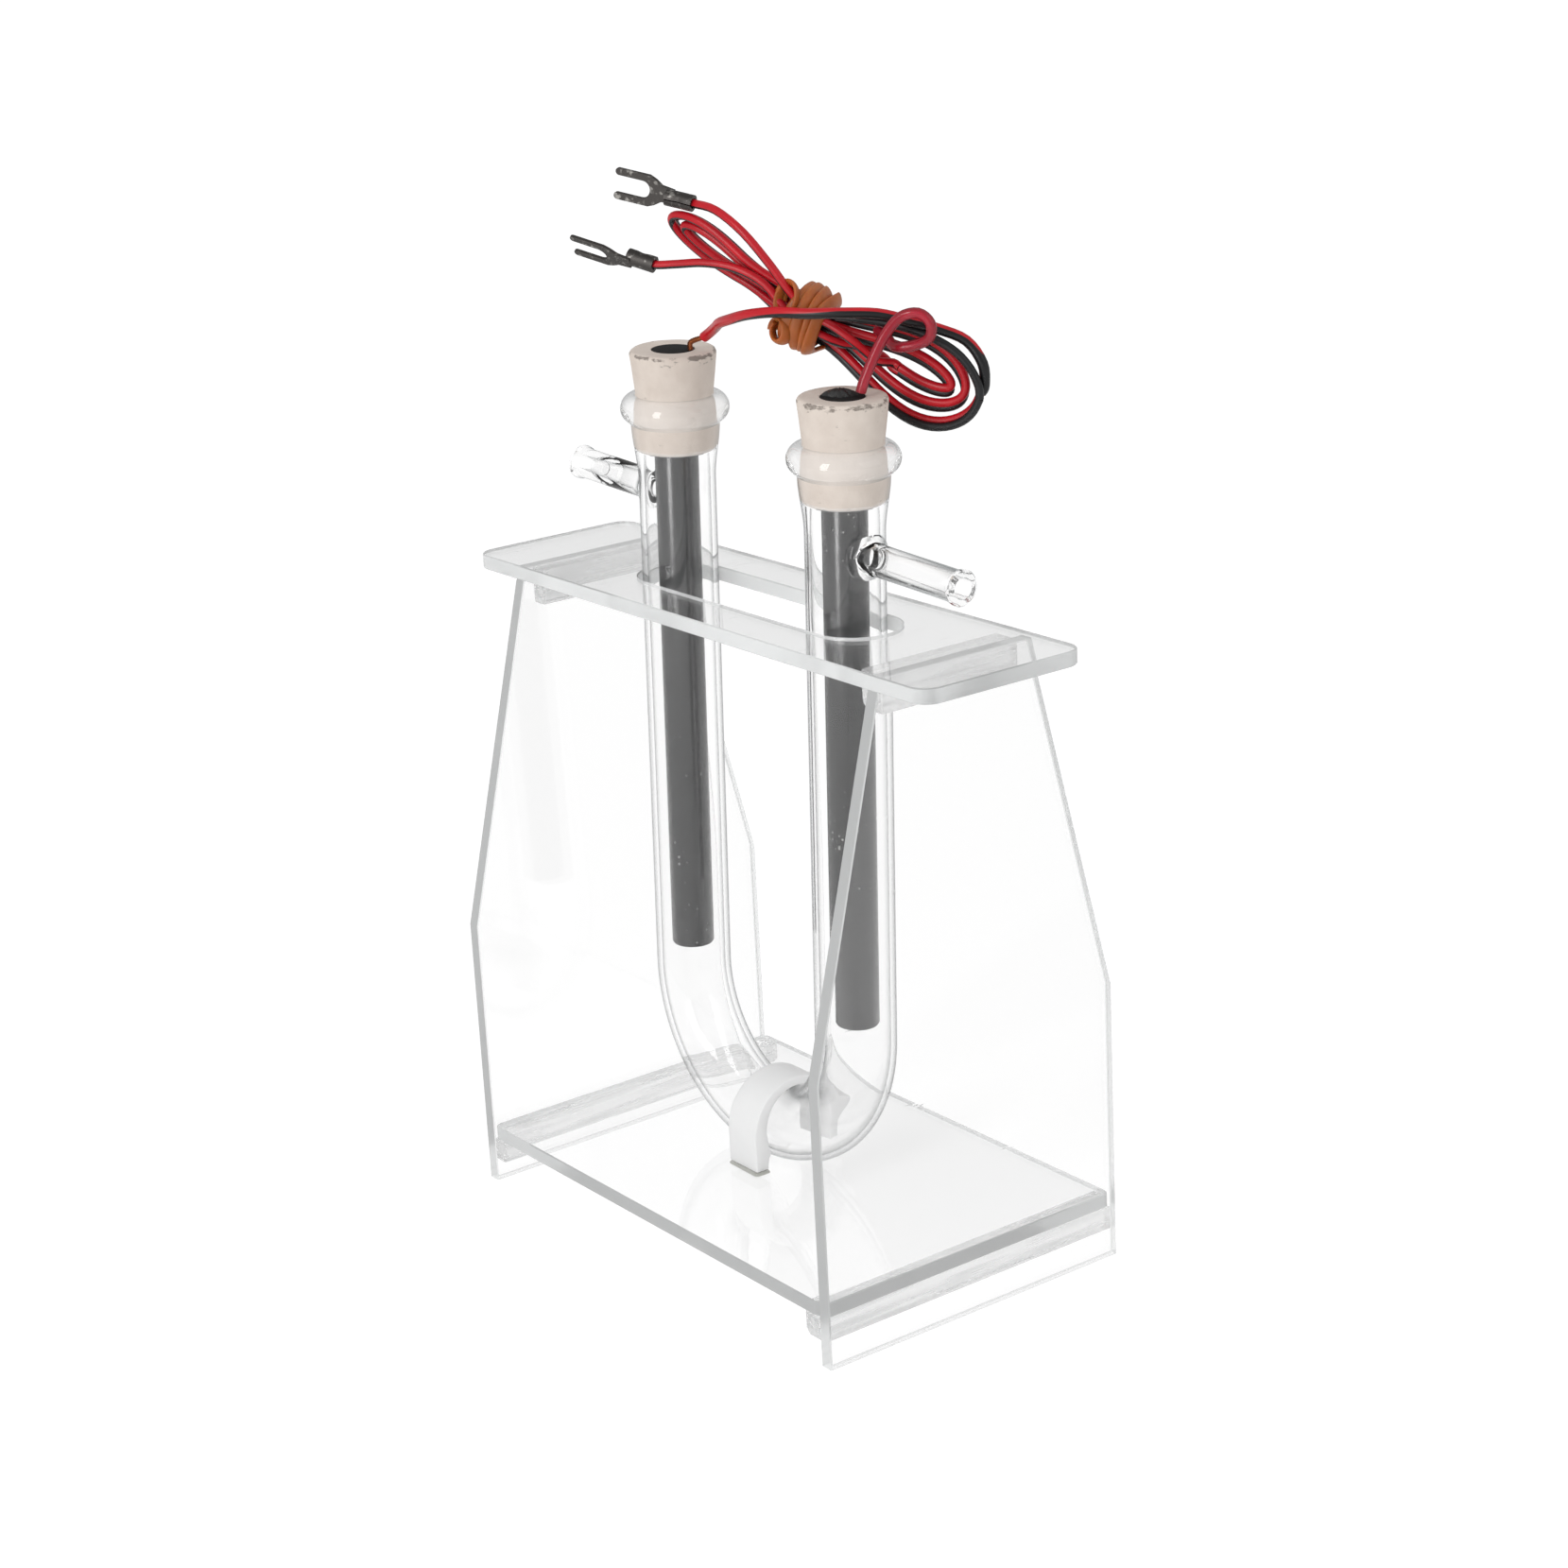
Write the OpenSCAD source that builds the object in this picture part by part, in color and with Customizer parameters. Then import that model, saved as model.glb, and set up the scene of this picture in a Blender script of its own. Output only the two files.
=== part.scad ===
// U-tube electrolysis apparatus: a glass U-tube with two side arms, clipped in a clear acrylic
// stand, with carbon electrodes in rubber stoppers and a tied hank of red and black lead wire.
// Millimetres. +X along the stand, +Y away from the clip's glued foot, +Z up from the bench.

/* [Stand] */
// Outside length of the stand over its side panels
stand_l = 115; // [90:1:150]
// Depth of the side panels at the foot
stand_d = 70; // [50:1:100]
// Height of the side panels, to the underside of the top plate
panel_h = 125; // [110:1:145]
// Height where the side panels start to taper
panel_kink_h = 56; // [30:1:80]
// Depth of the side panels at the top
panel_top_d = 35.4; // [24:0.2:60]
// Thickness of the acrylic sheet
sheet_t = 3; // [2:0.1:4]
// Gap under the base plate
base_clear_h = 9.6; // [6:0.2:16]
// Corner radius of the base plate
base_corner_r = 1.5; // [0.5:0.1:4]
// Length of the top plate
top_l = 142; // [120:1:180]
// Depth of the top plate
top_d = 37; // [30:0.5:60]
// Corner radius of the top plate
top_corner_r = 3.9; // [1:0.1:8]
// Length of the slot in the top plate
slot_l = 72; // [70:0.5:76]
// Width of the slot in the top plate
slot_w = 16.6; // [15.6:0.1:20]
// How far the slot is off the middle of the plate
slot_off = 2; // [1:0.1:3]

/* [Glue strips] */
// Width of a strip, out from the side panel
strip_w = 4.2; // [3:0.1:6]
// Height of a strip under the base plate
base_strip_h = 4.6; // [3:0.1:6]
// Height of a strip under the top plate
top_strip_h = 5; // [3:0.1:8]
// How far a top strip stops short of the panel's slanting edges
top_strip_set = 2; // [1:0.1:5]
// Chamfer along a strip's free edge
strip_cut = 1.2; // [0.5:0.1:1.6]

/* [U-tube] */
// Outer diameter of the glass tube
tube_d = 14.9; // [13:0.1:15.4]
// Wall of the glass tube
tube_wall = 1.1; // [0.8:0.1:1.5]
// Distance between the axes of the two limbs
limb_pitch = 52; // [50:0.5:54]
// Straight length of a limb, from the bend to the mouth
limb_l = 116.7; // [100:0.1:140]
// Lean of the tube in its slot
tube_lean = 2.5; // [0:0.1:2.8]
// Height at which the leaning tube is midway between the side panels
lean_h = 118; // [100:1:130]
// Length of the flared neck under the bead
neck_l = 16; // [14:0.5:24]
// Outer diameter of the bead at the mouth
bead_d = 21; // [20:0.1:24]
// Height of the bead
bead_h = 5.6; // [3:0.1:6]
// Outer diameter of a side arm
arm_d = 6; // [5:0.1:8]
// Wall of a side arm
arm_wall = 1; // [0.7:0.1:1.4]
// Length of a side arm, from the axis of its limb
arm_l = 33; // [26:0.5:45]
// Depth of the side arms below the mouth
arm_drop = 19.9; // [19:0.1:30]
// Diameter of the fused root of a side arm
arm_root_d = 8.8; // [7:0.1:11]
// Length of the fused root outside the limb
arm_root_l = 3.5; // [2:0.1:6]
// Diameter of the thickened ring at a side arm's end
arm_ring_d = 6.8; // [6.2:0.1:9]
// Length of that ring
arm_ring_l = 1.3; // [0.8:0.1:3]

/* [Tube clip] */
// Width of the clip along the tube
clip_w = 9; // [5:0.5:14]
// Wall of the clip over the tube
clip_wall = 3; // [2.2:0.1:4]
// Wall of the clip's free leg
clip_free_wall = 2; // [1.2:0.1:3]
// Drop of the free leg below the axis of the tube
clip_free_drop = 5.5; // [3:0.1:6.5]
// How far the finger lip stands out from the free leg
clip_lip = 3; // [1:0.1:5]
// Thickness of the finger lip
clip_lip_t = 1.7; // [1:0.1:2.5]
// Middle of the clip along the stand
clip_x = -1; // [-6:0.5:1]
// Thickness of the glue under the clip's foot
glue_t = 0.7; // [0.3:0.1:1.2]

/* [Electrodes] */
// Diameter of a stopper's top
stopper_top_d = 16.8; // [16.2:0.1:18]
// Diameter of a stopper's bottom
stopper_low_d = 12.5; // [11:0.1:12.6]
// Height of a stopper
stopper_h = 19.5; // [16:0.5:24]
// Depth of a stopper inside the mouth
stopper_in = 11; // [8:0.5:14]
// Diameter of a carbon rod
rod_d = 8.4; // [6:0.1:9]
// Length of a carbon rod
rod_l = 121.6; // [80:0.2:124]
// Height of the sealing lump on the right-hand rod
seal_h = 1.3; // [0.6:0.1:2]

/* [Leads] */
// Diameter of a lead wire over its insulation
wire_d = 1.6; // [1.4:0.1:1.7]
// Diameter of the sleeved lead to a stopper
sleeve_d = 2; // [1.8:0.1:2.1]
// Diameter of the bare copper tail
tail_d = 1.1; // [0.8:0.1:1.4]
// Half length of the hank
hank_half_l = 34; // [30:0.5:40]
// Turns of wire in the hank
hank_turns = 2; // [1:1:2]
// Step from turn to turn at the ends of the hank
hank_step = 2.8; // [2.6:0.1:3]
// Step from turn to turn at the waist of the hank
hank_row = 2.5; // [2.4:0.1:2.8]
// Bulge of the open end of the hank
hank_open = 10.2; // [6:0.1:12]
// Bulge of the folded end of the hank
hank_fold = 5.6; // [4:0.1:8]
// Thickness of the rubber band's strand
band_d = 1.3; // [1:0.1:1.5]
// Turns of the rubber band
band_turns = 3; // [2:1:4]

/* [Fork terminals] */
// Length of a fork terminal
fork_l = 16.5; // [13:0.1:20]
// Width over the prongs
fork_w = 6; // [5:0.1:8]
// Gap between the prongs
fork_gap = 3.2; // [2.6:0.1:4]
// Depth of that gap
fork_gap_l = 7.2; // [4:0.1:8]
// Thickness of the sheet metal
fork_t = 0.7; // [0.5:0.1:1]
// Length of the crimped barrel
barrel_l = 5.4; // [4:0.1:7]
// Outer diameter of the crimped barrel
barrel_d = 3.1; // [3:0.1:4]

/* [Hidden] */
$fn = 64;
// Overrun of a cut past the face it opens
over = 1;
// Clearance between the glass and what it rests on or in
seat_gap = 0.1;
// Radial clearance of a stopper in its neck
stopper_fit = 0.12;
// Radial clearance of a rod in its stopper
rod_fit = 0.03;
// Radial clearance of a wire in its barrel
wire_fit = 0.05;
// Radial clearance of the clip over the glass
clip_fit = 0.15;
// How far the glue spreads past the clip's foot
glue_spread = 0.4;
// Gap left where one run of wire meets the next
wire_gap = 0.5;
// How far the middle of the bump on the clip's near leg is set into the leg
clip_bump_in = 0.6;

base_top = base_clear_h + sheet_t;
panel_in = stand_l / 2 - sheet_t;
tube_r = tube_d / 2;
bore_r = tube_r - tube_wall;
bend_r = limb_pitch / 2;
bend_z = base_top + seat_gap + bend_r + tube_r;
bend_x = -(lean_h - bend_z) * tan(tube_lean);
cone_slope = (stopper_top_d - stopper_low_d) / 2 / stopper_h;
mouth_r = stopper_low_d / 2 + cone_slope * stopper_in + stopper_fit;
seat_low_r = stopper_low_d / 2 + stopper_fit;
neck_r = mouth_r + tube_wall;
stopper_top_z = limb_l - stopper_in + stopper_h;
arm_z = limb_l - arm_drop;
clip_in_r = tube_r + clip_fit;
clip_r = clip_in_r + clip_wall;
clip_axis_h = base_top + seat_gap + tube_r;
clip_foot_drop = clip_axis_h - base_top - glue_t;
wire_r = wire_d / 2;

// Where the middle of the hank is, its bearing and its slope
hank_at = [12, 8, 182];
hank_bearing = 30;
hank_slope = 26;
// Distance of the red turns in front of the hank's middle plane, and of the black ones behind it
hank_layer = 1.05;
// Drop of the black turns below the red ones
hank_sag = 0.9;
// Half the spread at the waist
hank_spread = 2.1;
// Half height of the waist at the first turn
hank_waist = 4.4;
// Angle past the last full turn where the wires leave the hank
hank_out = 45;
// The folded end is turned towards the front and lifted: angle, length of the turn, lift
hank_twist = 38;
hank_twist_l = 17;
hank_lift = 3.6;
// How far the copper tail reaches sideways and up from the rod's edge
tail_reach = 2.9;
tail_rise = 2.6;
tail_bearing = 30;
rings_per_turn = 24;
hank_sides = 6;
lead_sides = 8;

// Shape functions for the wires
function unit(v) = v / norm(v);
function past(a, b) = a + wire_gap * unit(b - a);
function heading(p, i) = unit(p[min(i + 1, len(p) - 1)] - p[max(i - 1, 0)]);
function square_to(v, t) = unit(v - (v * t) * t);
function first_side(t) = square_to(abs(t[2]) < 0.9 ? [0, 0, 1] : [1, 0, 0], t);
function sides_of(p) = [
    for (i = 0, n = first_side(heading(p, 0)); i < len(p);
         i = i + 1, n = i < len(p) ? square_to(n, heading(p, i)) : n) n
];
// A smooth run through hand-chosen points, two rings to a span
function along(a, b, c, d, t) =
    (2 * b + (c - a) * t + (2 * a - 5 * b + 4 * c - d) * t * t
    + (3 * b - a - 3 * c + d) * t * t * t) / 2;
function smooth(p) = concat(
    [for (i = [0 : len(p) - 2]) for (t = [0, 0.5])
        along(p[max(i - 1, 0)], p[i], p[i + 1], p[min(i + 2, len(p) - 1)], t)],
    [p[len(p) - 1]]
);
function run_length(p) = [for (i = 0, s = 0; i < len(p);
    s = i + 1 < len(p) ? s + norm(p[i + 1] - p[i]) : s, i = i + 1) s][len(p) - 1];

// From the hank's own axes, along, back and up, to the stand's
function to_stand(p) = let (
    x = p[0] * cos(hank_slope) + p[2] * sin(hank_slope),
    z = p[2] * cos(hank_slope) - p[0] * sin(hank_slope)
) hank_at + [
    x * cos(hank_bearing) - p[1] * sin(hank_bearing),
    x * sin(hank_bearing) + p[1] * cos(hank_bearing),
    z
];

// A turn runs from the open end, under the waist, round the fold and back over the waist
function swell(c) = c * c * (3 - 2 * abs(c));
function turn_point(a) = let (
    turn = a / 360,
    c = cos(a),
    bulge = (c > 0 ? hank_open - hank_step * turn : hank_fold - hank_step * turn / 3) * swell(c)
) [
    (hank_half_l - hank_step * turn) * c,
    hank_spread * sin(a) * (1 - swell(c)),
    -sin(a) * (hank_waist - hank_row * turn + bulge)
];
function ease(s) = s * s * (3 - 2 * s);
function laid(p) = p[0] >= 0 ? p : let (
    turned = hank_twist * ease(min(1, -p[0] / hank_twist_l)),
    lift = hank_lift * ease(min(1, -p[0] / hank_half_l))
) [
    p[0],
    p[1] * cos(turned) - p[2] * sin(turned),
    p[1] * sin(turned) + p[2] * cos(turned) + lift
];
last_angle = 360 * hank_turns + hank_out;
out_heading = unit(turn_point(last_angle + 1) - turn_point(last_angle - 1));
function hank_path(shift) = concat(
    [to_stand(turn_point(0) + shift + [0, 0, wire_d])],
    [for (k = [0 : last_angle * rings_per_turn / 360])
        to_stand(laid(turn_point(360 * k / rings_per_turn) + shift))],
    [to_stand(turn_point(last_angle) + shift + wire_d * out_heading)]
);
function hank_end(shift) = turn_point(last_angle) + shift + wire_d * out_heading;
red_shift = [0, -hank_layer, 0];
black_shift = [0, hank_layer, -hank_sag];
red_path = hank_path(red_shift);
black_path = hank_path(black_shift);

// From the tube's axes to the stand's
function from_tube(p) = [
    bend_x + p[0] * cos(tube_lean) + p[2] * sin(tube_lean),
    p[1],
    bend_z - p[0] * sin(tube_lean) + p[2] * cos(tube_lean)
];
tail_side = [cos(tail_bearing), sin(tail_bearing), 0];
tail_foot = [-bend_r, 0, stopper_top_z] + (rod_d / 2 - tail_d / 2) * tail_side;
tail_path = [
    from_tube(tail_foot),
    from_tube(tail_foot + [0, 0, tail_rise / 2]),
    from_tube(tail_foot + [0, 0, 3 * tail_rise / 4] + tail_side * tail_reach / 3),
    from_tube(tail_foot + [0, 0, tail_rise] + tail_side * tail_reach)
];

// Routes of the free stretches, by hand
lead_left_route = [
    [-16, 3.5, 176.5], [-12, 2, 178.5], [-6.5, -1, 180.5], [-1, -3, 181.5], [6, -4, 182],
    [13, -3, 182.5], [19, 0, 183], [24, 4, 183.5], [28, 9, 183.5], [31.5, 13, 182.5],
    [34.5, 17.5, 181], [38, 21, 178], [40.5, 22.5, 174]
];
lead_right_route = [
    [31.2, 1.9, 170.9], [31.7, 2.4, 173], [32.3, 4, 176.5], [32.8, 6.5, 180.5],
    [34, 9.2, 183.5], [36.4, 11.4, 184.2], [38, 12.8, 182.4], [37.6, 12.9, 179.8],
    [35, 11.8, 178.3], [31.5, 10, 177.8]
];
// These three are in the hank's own axes
black_in_route = [
    [6, -6.4, 3.6], [9, -6, 4.6], [13, -5.2, 5.9], [18, -5, 7], [24, -4.7, 7.5],
    [29, -4.5, 7], [33, -4, 5.6], [36.4, -2.8, 4.2], [37.4, -0.8, 3.4], [36, 0.8, 3.1]
];
red_out_route = [
    [14.5, -2.9, -1.8], [12, -4.1, -0.9], [9, -5.1, 0.2], [5, -5.3, 0.8], [0, -5.3, 0.9],
    [-5, -5.8, 3], [-10, -6.2, 5.8], [-17, -6.4, 8.9], [-24, -4.6, 9.6]
];
black_out_route = [
    [14.5, 1, -2], [12, -0.3, -1.4], [9.5, -1.6, -1.5], [7, -2.9, -2.1], [4.5, -4.5, -1.9],
    [0, -5.3, -1.5], [-5, -5.3, -0.4], [-10, -5.3, 1.8], [-16, -5.3, 1.9], [-22, -5.2, 0],
    [-27, -5, -2.8]
];

// The fork terminals: where the wire enters, and their roll, rise and bearing
fork_upper_at = to_stand([-29, -3, 8.2]);
fork_upper_turn = [96, 12, 30];
fork_lower_at = to_stand([-31, -5, -5]);
fork_lower_turn = [-45, 16, 30];
function fork_heading(turn) = [
    -cos(turn[1]) * cos(turn[2]), -cos(turn[1]) * sin(turn[2]), sin(turn[1])
];
function wire_seat(at, turn) = [at, at + barrel_l / 2 * fork_heading(turn)];

red_start = to_stand(turn_point(0) + red_shift + [0, 0, 2 * wire_d]);
black_start = to_stand(turn_point(0) + black_shift + [0, 0, 2 * wire_d]);
lead_left_path = smooth(concat(
    [past(tail_path[3], lead_left_route[0])], lead_left_route,
    [red_start, past(red_path[0], red_start)]
));
lead_right_path = smooth(lead_right_route);
lead_black_path = smooth(concat(
    [for (p = black_in_route) to_stand(p)],
    [black_start, past(black_path[0], black_start)]
));
red_out_path = smooth(concat(
    [for (p = concat([hank_end(red_shift) + wire_gap * out_heading,
        hank_end(red_shift) + wire_d * out_heading], red_out_route)) to_stand(p)],
    wire_seat(fork_upper_at, fork_upper_turn)
));
black_out_path = smooth(concat(
    [for (p = concat([hank_end(black_shift) + wire_gap * out_heading,
        hank_end(black_shift) + wire_d * out_heading], black_out_route)) to_stand(p)],
    wire_seat(fork_lower_at, fork_lower_turn)
));

// The rubber band: a winding round the waist, squared off to the bundle
band_half_w = 6.3;
band_half_h = 6.4;
band_mid = [0, -1.1, -1.2];
band_pitch = 2;
function squared(c) = sign(c) * sqrt(abs(c));
function band_point(a) = band_mid + [
    band_pitch * (a / 360 - band_turns / 2),
    band_half_w * squared(cos(a)),
    band_half_h * squared(sin(a))
];
band_path = [for (k = [0 : rings_per_turn * band_turns])
    to_stand(band_point(360 * k / rings_per_turn))];

// Least gap of a winding to itself, leaving out the rings next to each other
function least_gap(p, d, skip) = min([for (i = [0 : len(p) - 1 - skip])
    for (j = [i + skip : len(p) - 1]) norm(p[i] - p[j])]) - d;
echo(hank_red_gap = least_gap(red_path, wire_d, 3));
echo(hank_black_gap = least_gap(black_path, wire_d, 3));
echo(band_gap = least_gap(band_path, band_d, rings_per_turn / 2));

module sheet_plate(l, d, r) {
    linear_extrude(sheet_t)
        offset(r = r)
            square([l - 2 * r, d - 2 * r], center = true);
}

module base_plate() {
    color("#e8f0f0", 0.4)
    translate([0, 0, base_clear_h])
        sheet_plate(2 * panel_in, stand_d, base_corner_r);
}

module side_panel(side) {
    color("#e8f0f0", 0.4)
    translate([side > 0 ? panel_in : -stand_l / 2, 0, 0])
    rotate([90, 0, 90])
    linear_extrude(sheet_t)
        polygon([
            [-stand_d / 2, 0], [stand_d / 2, 0], [stand_d / 2, panel_kink_h],
            [panel_top_d / 2, panel_h], [-panel_top_d / 2, panel_h], [-stand_d / 2, panel_kink_h]
        ]);
}

module top_plate() {
    color("#e8f0f0", 0.4)
    translate([0, 0, panel_h])
    difference() {
        sheet_plate(top_l, top_d, top_corner_r);
        for (end = [-1, 1])
            translate([slot_off + end * (slot_l - slot_w) / 2, 0, -over])
                cylinder(d = slot_w, h = sheet_t + 2 * over);
        translate([slot_off - (slot_l - slot_w) / 2, -slot_w / 2, -over])
            cube([slot_l - slot_w, slot_w, sheet_t + 2 * over]);
    }
}

// A glue strip in the corner of a side panel and the plate above it
module glue_strip(side, h, half_l, z) {
    color("#dfe9ea", 0.5)
    translate([0, half_l, z])
    mirror([side > 0 ? 0 : 1, 0, 0])
    rotate([90, 0, 0])
    linear_extrude(2 * half_l)
        polygon([
            [panel_in, 0], [panel_in, -h], [panel_in - strip_w + strip_cut, -h],
            [panel_in - strip_w, -h + strip_cut], [panel_in - strip_w, 0]
        ]);
}

module base_strip(side) {
    glue_strip(side, base_strip_h, stand_d / 2, base_clear_h);
}

module top_strip(side) {
    glue_strip(side, top_strip_h, panel_top_d / 2 - top_strip_set, panel_h);
}

// Places its children in the axes of the tube: the middle of the bend, +Z along the limbs
module in_tube() {
    translate([bend_x, 0, bend_z])
    rotate([0, tube_lean, 0])
        children();
}

module bend(r) {
    rotate([-90, 0, 0])
    rotate_extrude(angle = 180)
        translate([bend_r, 0])
            circle(r = r);
}

module limb_outside() {
    cylinder(r = tube_r, h = limb_l - neck_l + over);
    translate([0, 0, limb_l - neck_l])
        cylinder(r1 = tube_r, r2 = neck_r, h = neck_l - bead_h / 2);
    translate([0, 0, limb_l - bead_h])
        cylinder(r = bead_d / 2 - bead_h / 2, h = bead_h);
    translate([0, 0, limb_l - bead_h / 2])
    rotate_extrude()
        translate([bead_d / 2 - bead_h / 2, 0])
            circle(d = bead_h);
}

module limb_bore() {
    cylinder(r = bore_r, h = limb_l);
    translate([0, 0, limb_l - neck_l])
        cylinder(r1 = bore_r, r2 = seat_low_r, h = neck_l - stopper_in);
    translate([0, 0, limb_l - stopper_in])
        cylinder(r1 = seat_low_r, r2 = mouth_r, h = stopper_in);
    translate([0, 0, limb_l])
        cylinder(r = mouth_r, h = over);
}

module side_arm_outside() {
    rotate([0, 90, 0])
        cylinder(d = arm_d, h = arm_l);
    translate([arm_l - arm_ring_l, 0, 0])
    rotate([0, 90, 0])
        cylinder(d1 = arm_d, d2 = arm_ring_d, h = arm_ring_l / 2);
    translate([arm_l - arm_ring_l / 2, 0, 0])
    rotate([0, 90, 0])
        cylinder(d = arm_ring_d, h = arm_ring_l / 2);
    rotate([0, 90, 0])
        cylinder(d = arm_root_d, h = tube_r);
    translate([tube_r, 0, 0])
    rotate([0, 90, 0])
        cylinder(d1 = arm_root_d, d2 = arm_d, h = arm_root_l);
}

module u_tube() {
    color("#f2f6f6", 0.35)
    in_tube()
    difference() {
        union() {
            bend(tube_r);
            for (side = [-1, 1])
                translate([side * bend_r, 0, 0])
                    limb_outside();
            for (side = [-1, 1])
                translate([side * bend_r, 0, arm_z])
                rotate([0, 0, side > 0 ? 0 : 180])
                    side_arm_outside();
        }
        bend(bore_r);
        for (side = [-1, 1])
            translate([side * bend_r, 0, 0])
                limb_bore();
        for (side = [-1, 1])
            translate([side * bend_r, 0, arm_z])
            rotate([0, side * 90, 0])
                cylinder(d = arm_d - 2 * arm_wall, h = arm_l + over);
    }
}

// The clip's end view, with the axis of the tube at the origin
module clip_profile() {
    difference() {
        union() {
            intersection() {
                circle(r = clip_r);
                translate([-clip_r, 0])
                    square([2 * clip_r, clip_r]);
            }
            translate([-clip_r, -clip_foot_drop])
                square([clip_wall, clip_foot_drop]);
            translate([clip_in_r, -clip_free_drop])
                square([clip_free_wall, clip_free_drop]);
            hull() {
                translate([clip_in_r + clip_free_wall + clip_lip - clip_lip_t / 2, clip_wall])
                    circle(d = clip_lip_t);
                translate([clip_in_r + clip_free_wall / 2, clip_wall + clip_lip_t])
                    circle(d = clip_lip_t);
                translate([clip_in_r + clip_free_wall / 2, 0])
                    circle(d = clip_free_wall);
            }
        }
        circle(r = clip_in_r);
    }
    translate([-clip_in_r - clip_bump_in, -clip_foot_drop / 2])
        circle(d = clip_wall);
}

module tube_clip() {
    color("#f1f3f4")
    difference() {
        translate([clip_x - clip_w / 2, 0, clip_axis_h])
        rotate([90, 0, 90])
        linear_extrude(clip_w)
            clip_profile();
        in_tube()
            bend(clip_in_r);
    }
}

// The dab of glue under the clip's foot
module clip_glue() {
    color("#f4f4ee", 0.6)
    translate([clip_x - clip_w / 2, -clip_r, base_top])
    linear_extrude(glue_t)
    offset(r = glue_spread)
        square([clip_w, clip_wall]);
}

module stopper(side) {
    color("#cbbfb5")
    in_tube()
    translate([side * bend_r, 0, stopper_top_z - stopper_h])
    difference() {
        cylinder(d1 = stopper_low_d, d2 = stopper_top_d, h = stopper_h);
        translate([0, 0, -over])
            cylinder(r = rod_d / 2 + rod_fit, h = stopper_h + 2 * over);
    }
}

module carbon_rod(side) {
    color("#4a4a4a")
    in_tube()
    translate([side * bend_r, 0, stopper_top_z - rod_l])
        cylinder(d = rod_d, h = rod_l);
}

// The bare copper strands that stand up from the left-hand rod's edge
module copper_tail_left() {
    color("#b5763f")
        swept(tail_path, tail_d / 2, lead_sides);
}

// The rough lump that seals the lead into the right-hand rod
module rod_seal_right() {
    color("#2a2a2c")
    in_tube()
    translate([bend_r - seal_h, 0, stopper_top_z])
        cylinder(r1 = rod_d / 2 - seal_h, r2 = rod_d / 4, h = seal_h);
}

// A tube of flat-sided rings along a path, closed at both ends
module swept(path, r, sides) {
    across = sides_of(path);
    last = len(path) - 1;
    points = [
        for (i = [0 : last])
        for (k = [0 : sides - 1])
            path[i] + r * (cos(360 * k / sides) * across[i]
            + sin(360 * k / sides) * cross(heading(path, i), across[i]))
    ];
    walls = [
        for (i = [0 : last - 1])
        for (k = [0 : sides - 1])
        let (a = i * sides + k, b = i * sides + (k + 1) % sides)
        each [[a, a + sides, b], [b, a + sides, b + sides]]
    ];
    first_cap = [for (k = [1 : sides - 2]) [0, k, k + 1]];
    last_cap = [for (k = [1 : sides - 2])
        [last * sides, last * sides + k + 1, last * sides + k]];
    polyhedron(points, concat(walls, first_cap, last_cap), convexity = 10);
}

module lead_left() {
    color("#c8152b")
        swept(lead_left_path, sleeve_d / 2, lead_sides);
}

module lead_right() {
    color("#c23a4c")
        swept(lead_right_path, sleeve_d / 2, lead_sides);
}

module lead_black() {
    color("#1b1b1d")
        swept(lead_black_path, wire_r, lead_sides);
}

module hank_red() {
    color("#c8152b")
        swept(red_path, wire_r, hank_sides);
}

module hank_black() {
    color("#1b1b1d")
        swept(black_path, wire_r, hank_sides);
}

module terminal_lead_red() {
    color("#c8152b")
        swept(red_out_path, wire_r, lead_sides);
}

module terminal_lead_black() {
    color("#1b1b1d")
        swept(black_out_path, wire_r, lead_sides);
}

// A stamped fork: two prongs, a flat neck and a barrel rolled round the wire, along -X
module fork_terminal(at, turn) {
    color("#6b6a68")
    translate(at)
    rotate([0, 0, turn[2]])
    rotate([0, turn[1], 0])
    rotate([turn[0], 0, 0]) {
        rotate([0, -90, 0])
        difference() {
            cylinder(d = barrel_d, h = barrel_l);
            translate([0, 0, -over])
                cylinder(r = wire_r + wire_fit, h = barrel_l + 2 * over);
        }
        translate([-barrel_l, 0, -barrel_d / 2])
        linear_extrude(fork_t)
        difference() {
            union() {
                translate([-fork_l + barrel_l + fork_w / 2, -fork_w / 2])
                    square([fork_gap_l - fork_w / 2, fork_w]);
                translate([-fork_l + barrel_l + fork_gap_l, 0])
                    circle(d = fork_w);
                for (side = [-1, 1])
                    translate([-fork_l + barrel_l + fork_w / 2, side * (fork_w + fork_gap) / 4])
                    translate([-(fork_w - fork_gap) / 4, 0])
                        square([fork_w - fork_gap, (fork_w - fork_gap) / 2], center = true);
                translate([-fork_l + barrel_l + fork_gap_l, -barrel_d / 2])
                    square([fork_l - fork_gap_l - barrel_l + barrel_d / 4, barrel_d]);
            }
            translate([-fork_l + barrel_l + fork_gap_l - fork_gap / 2, 0])
                circle(d = fork_gap);
            translate([-fork_l + barrel_l - over, -fork_gap / 2])
                square([fork_gap_l - fork_gap / 2 + over, fork_gap]);
        }
    }
}

module rubber_band() {
    color("#b8642a")
        swept(band_path, band_d / 2, hank_sides);
}

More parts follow.
